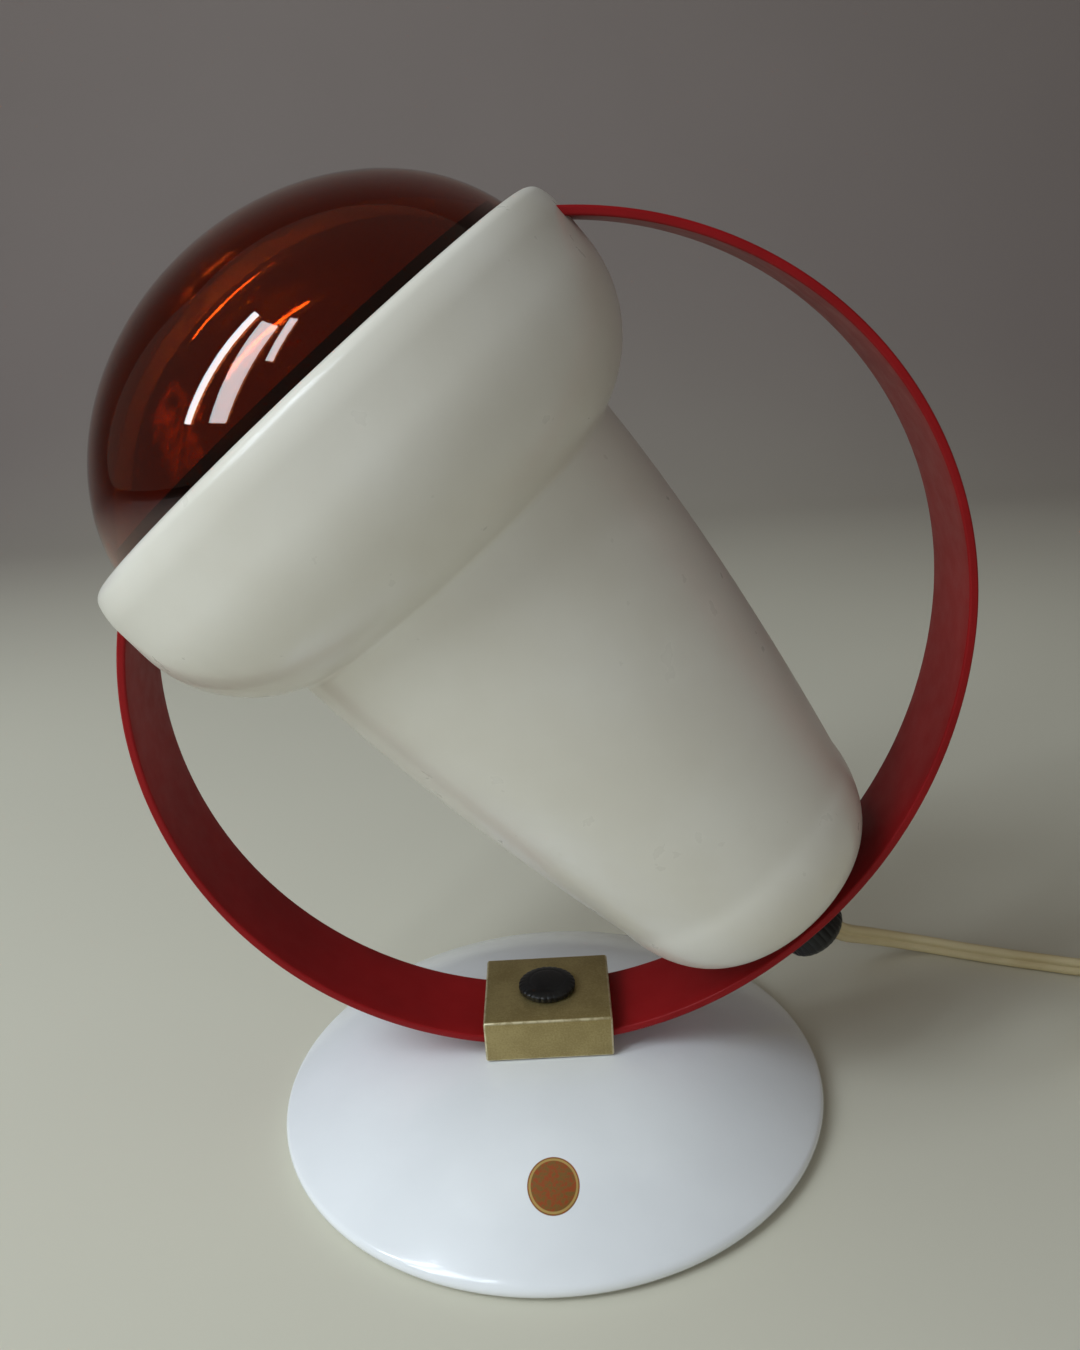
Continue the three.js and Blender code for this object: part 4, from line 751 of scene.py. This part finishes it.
def makeBlock():
    # rings round the block's length: along its outside, over the end's round edge and its face,
    # back through the slot, and over the other end
    halfLength, top = block["length"] / 2, block["bottom"] + block["height"]
    edge, slotEdge = block["edge"], block["slotEdge"]
    quarter = np.radians(np.linspace(0, 90, 6))
    outX = np.linspace(-1, 1, 9) * (halfLength - edge)
    overX, overIn = halfLength - edge + edge * np.sin(quarter), edge * (1 - np.cos(quarter))
    mouthX, mouthOut = halfLength - slotEdge + slotEdge * np.cos(quarter), slotEdge * (1 - np.sin(quarter))
    innerX = np.linspace(1, -1, 25) * (halfLength - slotEdge)

    def outerLoops(inset):
        half, corner = block["width"] / 2 - inset, np.maximum(edge - inset, block["leastCorner"])
        return roundedLoop(half, block["bottom"] + inset, top - inset, corner)

    def slotLoops(x, growth):
        low = slideCentre[1] - np.sqrt((hoop["slideRadius"] + block["slotRoom"]) ** 2 - x ** 2)
        high = slideCentre[1] - np.sqrt(
            (hoop["slideRadius"] - hoop["thickness"] - block["slotRoom"]) ** 2 - x ** 2,
        )
        half = hoop["width"] / 2 + block["slotRoom"] + growth
        return roundedLoop(half + 0 * x, low - growth, high + growth, np.full(x.shape, block["slotCorner"]))

    over, mouth = outerLoops(overIn), slotLoops(mouthX, mouthOut)
    share = np.linspace(0, 1, 5)[1:-1, None, None]
    face = over[-1] * (1 - share) + mouth[0] * share
    faceX = np.full(3, halfLength)
    loops = np.concatenate([
        outerLoops(0 * outX), over[1:], face, mouth, slotLoops(innerX, 0)[1:-1], mouth[::-1], face[::-1],
        over[:0:-1],
    ])
    x = np.concatenate([
        outX, overX[1:], faceX, mouthX, innerX[1:-1], -mouthX[::-1], -faceX, -overX[:0:-1],
    ])
    points = np.concatenate([np.broadcast_to(x[:, None, None], (*loops.shape[:2], 1)), loops], -1)
    roundRows = np.concatenate([
        0 * outX, np.sin(2 * quarter)[1:], 0 * faceX, 0 * mouthX, 0 * innerX[1:-1], 0 * mouthX, 0 * faceX,
        np.sin(2 * quarter)[:0:-1],
    ])
    cornerColumns = np.tile(np.concatenate([np.sin(np.linspace(0, np.pi, 5)), np.zeros(4)]), 4)
    outside = np.concatenate([np.ones(len(outX) + 5), np.zeros(len(x) - len(outX) - 10), np.ones(5)])
    wear = np.maximum(roundRows[:, None], cornerColumns * outside[:, None])
    thing = makePiece("clampBlock", surface(points, ringRows=True), marks={"edgeWear": wear})
    place(thing, "base", "satin_gold", "clamp_block")


makeBlock()

# Knobs
clampKnob = {
    "radius": 0.0077, "bottom": 0.0326, "side": 0.0011, "rise": 0.0015, "ribs": 28, "ribDepth": 0.00022,
}
rearKnob = {
    "radius": 0.00875, "side": 0.0054, "rise": 0.0042, "skirt": 0.002, "ribs": 28, "ribDepth": 0.00025,
}
knobShape = {
    "edge": 0.0003, "groove": 0.0001, "grooveAt": 0.62, "grooveWidth": 0.035, "ribPower": 0.8,
    "ribsFrom": 0.72, "ribsFull": 0.92, "gap": 0.0003,
}
saddle = {"radius": 0.0065, "thickness": 0.0026, "sunk": 0.0006, "edge": 0.0003}


def knobPoints(facts, bottom):
    # a straight side and a crown that is part of an ellipse, with a shallow groove round it, whose depth
    # falls off as a bell curve; ribs press in the side, as a sine's size does, and fade on the crown
    crown = arcLine([0, 0], 1, 0, 90, 30) * [facts["radius"], facts["rise"]] + [0, bottom + facts["side"]]
    away = (crown[:, 0] / facts["radius"] - knobShape["grooveAt"]) / knobShape["grooveWidth"]
    crown[:, 1] -= knobShape["groove"] * np.exp(-away ** 2)
    edge = knobShape["edge"]
    foot = arcLine([facts["radius"] - edge, bottom + edge], edge, -90, 0, 4)
    profile = np.vstack([[[0, bottom], [facts["radius"] * 0.6, bottom]], foot, crown])
    points = turnedPoints(profile, facts["ribs"] * 10)
    angle = np.linspace(0, 2 * np.pi, facts["ribs"] * 10, endpoint=False)
    wave = np.abs(np.sin(facts["ribs"] * angle / 2)) ** knobShape["ribPower"]
    fade = np.interp(profile[:, :1] / facts["radius"], [knobShape["ribsFrom"], knobShape["ribsFull"]], [0, 1])
    shrink = 1 - facts["ribDepth"] * fade * (1 - wave) / np.maximum(profile[:, :1], 0.001)
    points[..., :2] *= shrink[..., None]
    return points


def makeKnobs():
    clamp = knobPoints(clampKnob, clampKnob["bottom"])
    thing = makePiece("clampKnob", surface(clamp), sharpFrom=60)
    place(thing, "clamp_knob", "black_plastic", "clamp_knob")
    rear = inShade(knobPoints(rearKnob, saddleTop + knobShape["gap"] - rearKnob["skirt"]))
    thing = makePiece("rearKnob", surface(rear), sharpFrom=60)
    place(thing, "rear_knob", "black_plastic", "rear_knob")


saddleTop = seatDepth + hoop["thickness"] + saddle["thickness"]
makeKnobs()
print("base, block and knobs made")


# Shade: the bell's outside is a rolled lip, a light taper, a straight side, a round shoulder
# and a small hollow arc that runs it into the cone

def bellLine():
    lip, wide = shade["mouthRadius"], shade["bellRadius"]
    curl = shade["mouthRound"]
    inner = arcLine([lip - curl, shade["wall"] / 2], shade["wall"] / 2, 90, 270, 9)
    roll = arcLine([lip - curl, curl], curl, -90, -shade["rollEnd"], 12)
    # from the roll's end the side widens ever less, as a parabola that starts with the roll's own slope
    share, rise = np.linspace(0, 1, 12)[1:], wide - roll[-1, 0]
    reach = 2 * rise / math.tan(math.radians(shade["rollEnd"]))
    taper = roll[-1] + np.column_stack([rise * (2 * share - share ** 2), reach * share])
    bend, small = shade["shoulder"], shade["crease"]
    centre = np.array([wide - bend, shade["bellStraight"]])
    hollow = np.array([shade["coneRadius"] + small, 0])
    hollow[1] = centre[1] + math.sqrt((bend + small) ** 2 - (hollow[0] - centre[0]) ** 2)
    meet = math.degrees(math.atan2(*(hollow - centre)[::-1]))
    shoulder = arcLine(centre, bend, 0, meet, 40)
    crease = arcLine(hollow, small, meet + 180, 180, 10)[1:]
    return inner, np.vstack([roll, taper, shoulder, crease]), hollow[1]


bellInner, bellOuter, creaseEnd = bellLine()
joint = creaseEnd + 0.001  # depth at which the bell meets the cone


def coneRadiusAt(depth):
    share = np.clip((depth - shade["coneFront"]) / shade["coneLength"], 0, 1)
    return shade["coneRadius"] - shade["coneTaper"] * share ** shade["taperPower"]


def turnInShade(name, profile, sides, closed=False):
    # a piece that is round about the shade's own axis
    return makePiece(name, surface(inShade(turnedPoints(profile, sides)), ringRows=closed))


def makeBell():
    outer = np.vstack([bellOuter, [[coneRadiusAt(joint), joint]]])
    back = shifted(outer, shade["wall"])[14:]
    thing = turnInShade("shadeBell", np.vstack([bellInner[1:-1], outer, back[::-1]]), 192, closed=True)
    place(thing, "hoop", "cream_enamel", "shade_bell")


def makeCone():
    # the steps over the round end shrink towards the tip, where the outline turns fastest
    depth = np.linspace(joint, shade["coneFront"] + shade["coneLength"], 40)
    side = np.column_stack([coneRadiusAt(depth), depth])
    end = coneEndPoint(90 * (1 - np.linspace(1, 0.02, 44)[1:] ** 2.18))
    outer = np.vstack([side, end])
    inner = shifted(outer, shade["wall"])
    thing = turnInShade("shadeCone", np.vstack([outer, inner[::-1]]), 192, closed=True)
    place(thing, "hoop", "cream_enamel", "shade_cone")


makeBell()
makeCone()


spacer = {"radius": 0.008, "edge": 0.0004, "sunk": 0.0004, "intoBand": 0.0006}


def makeSpacer():
    # a black bush, from the shade's end to just inside the band's inner face
    radius, edge = spacer["radius"], spacer["edge"]
    start, end = shadeEnd - spacer["sunk"], seatDepth + spacer["intoBand"]
    rim = arcLine([radius - edge, start + edge], edge, -90, 0, 5)
    profile = np.vstack([[[0, start]], rim, [[radius, end], [0, end]]])
    thing = turnInShade("shadeSpacer", profile, 64)
    place(thing, "hoop", "black_plastic", "shade_spacer")


def makeSaddle():
    start, edge = seatDepth + hoop["thickness"] - saddle["sunk"], saddle["edge"]
    rim = arcLine([saddle["radius"] - edge, saddleTop - edge], edge, 0, 90, 5)
    profile = np.vstack([[[0, start], [saddle["radius"], start]], rim, [[0, saddleTop]]])
    thing = turnInShade("saddleWasher", profile, 56)
    place(thing, "hoop", "zinc_steel", "saddle_washer")


makeSpacer()
makeSaddle()


# Hoop: a rounded section carried round three arcs that run into each other
def hoopSpots(angle, out, across):
    # angle in degrees from 166 to 450, out from the outer radius, across along y
    arc = np.where(angle < 360 + hoop["slideEnd"], 0, np.where(angle < 360 + hoop["backEnd"], 1, 2))
    centre = np.array([slideCentre, backCentre, topCentre])[arc]
    radius = np.array([hoop["slideRadius"], hoop["backRadius"], hoop["topRadius"]])[arc] + out
    turn = np.radians(angle)
    x, z = centre[..., 0] + radius * np.cos(turn), centre[..., 1] + radius * np.sin(turn)
    return np.stack([x, across + 0 * radius, z], -1)


def bellCrossing(outside, inside, out, across):
    # by halving, the angle at which each line of the band goes into the bell's wall
    outside, inside = outside + 0 * out, inside + 0 * out
    for _ in range(30):
        middle = (outside + inside) / 2
        spot = toShade(hoopSpots(middle, out, across))
        wall = np.interp(spot[:, 2], bellOuter[:, 1], bellOuter[:, 0]) - hoop["sink"]
        within = np.hypot(spot[:, 0], spot[:, 1]) < wall
        outside, inside = np.where(within, outside, middle), np.where(within, middle, inside)
    return outside


tongue = {"halfWidth": 0.006, "reach": 0.0036, "thinner": 0.0001, "corner": 0.0003}


def makeHoop():
    # the band, and at each of its ends the tongue that is sprung into the bell
    section = roundedLoop(hoop["width"] / 2, -hoop["thickness"], 0, hoop["round"], 6, 7)
    across, out = section[:, 0], section[:, 1]
    first = bellCrossing(200, 140, out, across)
    last = bellCrossing(420, 470, out, across)
    share = np.linspace(0, 1, 300)[:, None]
    band = hoopSpots(first + (last - first) * share, out, across)
    low, high = -hoop["thickness"] + tongue["thinner"], -tongue["thinner"]
    flat = roundedLoop(tongue["halfWidth"], low, high, tongue["corner"], 4, 3)
    reach = math.degrees(tongue["reach"] / hoop["slideRadius"])
    steps = np.linspace(-0.5, 1, 6)[:, None]
    left = hoopSpots(first.mean() - reach * steps, flat[:, 1], flat[:, 0])
    right = hoopSpots(last.mean() + reach * steps, flat[:, 1], flat[:, 0])
    surfaces = [surface(closedEnds(points)) for points in (band, left, right)]
    thing = makePiece("hoopBand", *surfaces, sharpFrom=60)
    place(thing, "hoop", "red_enamel", "hoop")


makeHoop()
print("shade and hoop made")

# Bulb
bulb = {
    "radius": 0.06135, "dome": 0.0499, "widest": 0.0107, "reflector": 0.0893, "wall": 0.0011,
    "shares": [(1, 0), (0.981, 0.082), (0.861, 0.2385), (0.6585, 0.4177), (0.4613, 0.664), (0.3178, 1)],
    "neckTurn": 0.0069, "neckTube": 0.006, "neckRadius": 0.0118, "mirror": 0.0003, "mirrorGap": 0.0002,
    # painted shade: the black ring inside the glass runs from this angle on the dome to a little past its
    # widest ring
    "paintedShadeStart": 74, "paintedShadeEnd": 0.0006,
}
neckBack = bulb["widest"] + bulb["reflector"] + bulb["neckTurn"]
stem = {"length": 0.032, "foot": 0.0104, "column": 0.0044, "flare": 0.0064, "round": 0.001, "power": 2.2}
stemTop = neckBack + bulb["neckTube"] - stem["length"]
filament = {
    "spread": 0.011, "foot": 0.0026, "wire": 0.0006, "length": 0.030, "bow": 0.006, "coilRadius": 0.0019,
    "coilWire": 0.0004, "coilTurns": 26, "ahead": 0.0014, "pitch": 0.00004,
}


def reflectorLine(steps):
    knots = np.array(bulb["shares"]) * [bulb["radius"], bulb["reflector"]] + [0, bulb["widest"]]
    return throughKnots(knots, steps, carryOn=False)


def domeLine(first, count):
    # the front half of the glass: half an ellipse, from an angle off its middle to its widest ring
    angle = np.radians(np.linspace(first, 90, count))
    return np.column_stack([bulb["radius"] * np.sin(angle), bulb["widest"] - bulb["dome"] * np.cos(angle)])


def makeGlass():
    # the dome, a curve through a few widths for the reflector, a quarter of an ellipse into the neck
    dome = domeLine(0, 56)
    reflector = reflectorLine(10)
    turn = np.radians(np.linspace(0, 90, 9)[1:])
    narrower = reflector[-1, 0] - bulb["neckRadius"]
    neck = np.column_stack([
        bulb["neckRadius"] + narrower * np.cos(turn), reflector[-1, 1] + bulb["neckTurn"] * np.sin(turn),
    ])
    outer = np.vstack([dome, reflector[1:], neck, [[bulb["neckRadius"], neckBack + bulb["neckTube"]]]])
    inner = shifted(outer, bulb["wall"])
    inner[0] = [0, outer[0, 1] + bulb["wall"]]
    thing = turnInShade("bulbGlass", np.vstack([outer, inner[::-1]]), 192)
    place(thing, "bulb", "red_glass", "bulb_glass")


def makeMirror():
    line = reflectorLine(10)[1:]
    outer = shifted(line, bulb["wall"] + bulb["mirrorGap"])
    inner = shifted(line, bulb["wall"] + bulb["mirrorGap"] + bulb["mirror"])
    thing = turnInShade("bulbMirror", np.vstack([outer, inner[::-1]]), 160, closed=True)
    place(thing, "bulb", "silvering", "bulb_mirror")


def makePaintedShadeBand():
    # painted shade: a black ring inside the glass, over the last of the dome's ellipse in front of the
    # silvering, standing in for the dark gap behind the shade's lip
    dome = domeLine(bulb["paintedShadeStart"], 12)
    line = np.vstack([dome, [[dome[-1, 0], dome[-1, 1] + bulb["paintedShadeEnd"]]]])
    line = shifted(line, bulb["wall"] + bulb["mirrorGap"])
    profile = np.vstack([line, shifted(line, bulb["mirror"])[::-1]])
    thing = turnInShade("paintedShadeBand", profile, 160, closed=True)
    place(thing, "bulb", "silvering", finish="black_plastic")


def tubeAlong(path, radius, sides=10):
    # a round section along a path; the upright direction is one that no stretch of these wires follows
    section = arcLine([0, 0], radius, 0, 360, sides + 1)[:-1]
    return closedEnds(alongPath(path, section, -unit([0.3, 0.9, 0.2])))


def makeFilament():
    # two bent wires carry a coiled wire, whose helix is wound round a bowed line
    depth = stemTop - filament["ahead"] - filament["length"]
    start = stemTop - 0.0003
    for name, side in [("left", -1), ("right", 1)]:
        knots = [
            (side * filament["foot"], 0, start), (side * filament["foot"], 0, start - filament["length"] / 3),
            (side * filament["spread"], 0, start - 2 * filament["length"] / 3),
            (side * filament["spread"], 0, depth - 0.001),
        ]
        wire = tubeAlong(throughKnots(knots, 12), filament["wire"])
        thing = makePiece("supportWire" + name.capitalize(), surface(inShade(wire)), sharpFrom=80)
        place(thing, "bulb", "tungsten", "support_wire_" + name)
    spread, bow = filament["spread"], filament["bow"]
    line = evenly(throughKnots([
        (-spread, 0, depth), (-spread / 2, bow, depth), (spread / 2, bow, depth), (spread, 0, depth),
    ], 16), filament["pitch"])
    turn = np.linspace(0, 2 * np.pi * filament["coilTurns"], len(line))
    forward = np.gradient(line, axis=0)
    forward /= np.linalg.norm(forward, axis=1, keepdims=True)
    sideways = np.cross(forward, [0, 0, 1])
    around = np.cos(turn)[:, None] * sideways + np.sin(turn)[:, None] * np.array([0, 0, 1])
    helix = tubeAlong(line + filament["coilRadius"] * around, filament["coilWire"], 6)
    thing = makePiece("filamentCoil", surface(inShade(helix)), sharpFrom=80)
    place(thing, "bulb", "tungsten", "filament", finish="hot_tungsten")


def makeStem():
    # the glass stem: a flared foot at the neck, a slim column and a flattened press at its top
    # the flare widens as a power of the distance along it
    column, corner = stem["column"], stem["round"]
    share = np.linspace(0, 1, 30)
    flare = column + (stem["foot"] - column) * share ** stem["power"]
    depth = neckBack + bulb["neckTube"] - stem["flare"] + stem["flare"] * share
    top = arcLine([column - corner, stemTop + corner], corner, 270, 360, 6)
    profile = np.vstack([[[0, stemTop]], top, np.column_stack([flare, depth]), [[0, depth[-1]]]])
    thing = turnInShade("bulbStem", profile, 48)
    place(thing, "bulb", "clear_glass", "bulb_stem")


makeGlass()
makeMirror()
makePaintedShadeBand()
makeFilament()
makeStem()
print("bulb made")

# Solids whose shape is right keep it, and get their finish
nodesOfSlot = {
    "cast_iron": ["base_weight"],
    "black_rubber": ["base_pad"],
    "zinc_steel": [
        "clamp_stud", "shade_stud", "stud_nut", "holder_bracket", "bracket_screw_left", "bracket_screw_right",
        "block_screw_left", "block_screw_right", "block_washer_left", "block_washer_right",
    ],
    "brass": [
        "clamp_shoe", "holder_sleeve", "centre_contact", "cap_contact", "terminal_screw_live",
        "terminal_screw_neutral",
    ],
    "porcelain": ["holder_body"],
    "nickel_plate": ["bulb_cap"],
    "black_plastic": ["cap_insulator"],
    "brown_lead": ["inner_lead_live"],
    "blue_lead": ["inner_lead_neutral"],
}
for slotName, nodes in nodesOfSlot.items():
    for node in nodes:
        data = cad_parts[node].data
        data.materials.clear()
        data.materials.append(finishes[slotName].material)
print("solids finished:", sum(len(nodes) for nodes in nodesOfSlot.values()))

# Studio: a pale floor that turns up into a backdrop, a window of three panes and soft fill
studio = {
    "halfWidth": 2.2, "front": -1.15, "back": 0.75, "bend": 0.45, "top": 2.2,
    "floor": tint(212, 208, 190), "backdrop": tint(150, 140, 135), "fade": (0.35, 1.25),
    "target": (0, 0, 0.12), "worldColour": (1.0, 0.85, 0.71, 1), "world": 0.115,
}
panes = [  # turn and rise, width and height, distance, how bright, and whether glass and gloss show it
    (-157.5, 38, 0.075, 0.80, 1.2, 19, True), (-142, 38, 0.18, 0.76, 1.2, 11.5, True),
    (-127.5, 51, 0.07, 0.34, 1.2, 13, True), (180, 52, 0.8, 0.8, 1.2, 1.45, False),
    (-168, 12, 0.9, 0.7, 1.3, 1.35, False), (-82, 14, 1.6, 1.1, 1.3, 0.85, False),
]
windowColour = (0.82, 0.915, 1.0)


def makeStage():
    finish = Finish("paleFloor", {"Roughness": 0.75, "Specular IOR Level": 0.25})
    away = finish.add("ShaderNodeVectorMath", {"operation": "LENGTH"}, {0: finish.coordinates()}, "Value")
    colour = finish.blendColours(finish.ramp(away, *studio["fade"]), studio["floor"], studio["backdrop"])
    tone = finish.ramp(finish.noise(0.25, 2), 0.3, 0.7, 0, 0.03)
    finish.drive("Base Color", finish.blendColours(tone, colour, (0, 0, 0, 1)))
    bend = arcLine([studio["back"], studio["bend"]], studio["bend"], 270, 360, 24)
    line = np.vstack([[[studio["front"], 0]], bend, [[studio["back"] + studio["bend"], studio["top"]]]])
    x = np.linspace(-studio["halfWidth"], studio["halfWidth"], 3)
    points = np.stack([x + 0 * line[:, :1], line[:, :1] + 0 * x, line[:, 1:] + 0 * x], -1)
    floor = makePiece("floor", surface(points, ringColumns=False))
    floor.data.materials.append(finish.material)


def addPane(name, spot, size, bright, seen):
    # an area light that faces the lamp, upright as a window is; its power follows from its look and area
    data = bpy.data.lights.new(name, "AREA")
    data.shape = "RECTANGLE"
    data.size, data.size_y = size
    data.energy, data.color = bright * math.pi * size[0] * size[1], windowColour
    light = bpy.data.objects.new(name, data)
    away = unit(np.array(spot) - studio["target"])
    right = unit(np.cross([0, 0, 1], away))
    up = np.cross(away, right)
    light.matrix_world = Matrix(np.block([
        [np.column_stack([right, up, away, spot])], [np.array([0, 0, 0, 1.0])],
    ]).tolist())
    light.visible_glossy = light.visible_transmission = seen
    bpy.context.scene.collection.objects.link(light)


def makeLights():
    for number, (turn, rise, width, height, distance, bright, seen) in enumerate(panes, 1):
        turn, rise = math.radians(turn), math.radians(rise)
        away = np.array([math.cos(turn) * math.cos(rise), math.sin(turn) * math.cos(rise), math.sin(rise)])
        spot = np.array(studio["target"]) + away * distance
        addPane(f"pane{number}", spot, (width, height), bright, seen)
    world = bpy.data.worlds.new("room")
    world.use_nodes = True
    world.node_tree.nodes["Background"].inputs[0].default_value = studio["worldColour"]
    world.node_tree.nodes["Background"].inputs[1].default_value = studio["world"]
    bpy.context.scene.world = world


makeStage()
makeLights()
bpy.context.scene.view_settings.view_transform = "Standard"
print("studio lit")
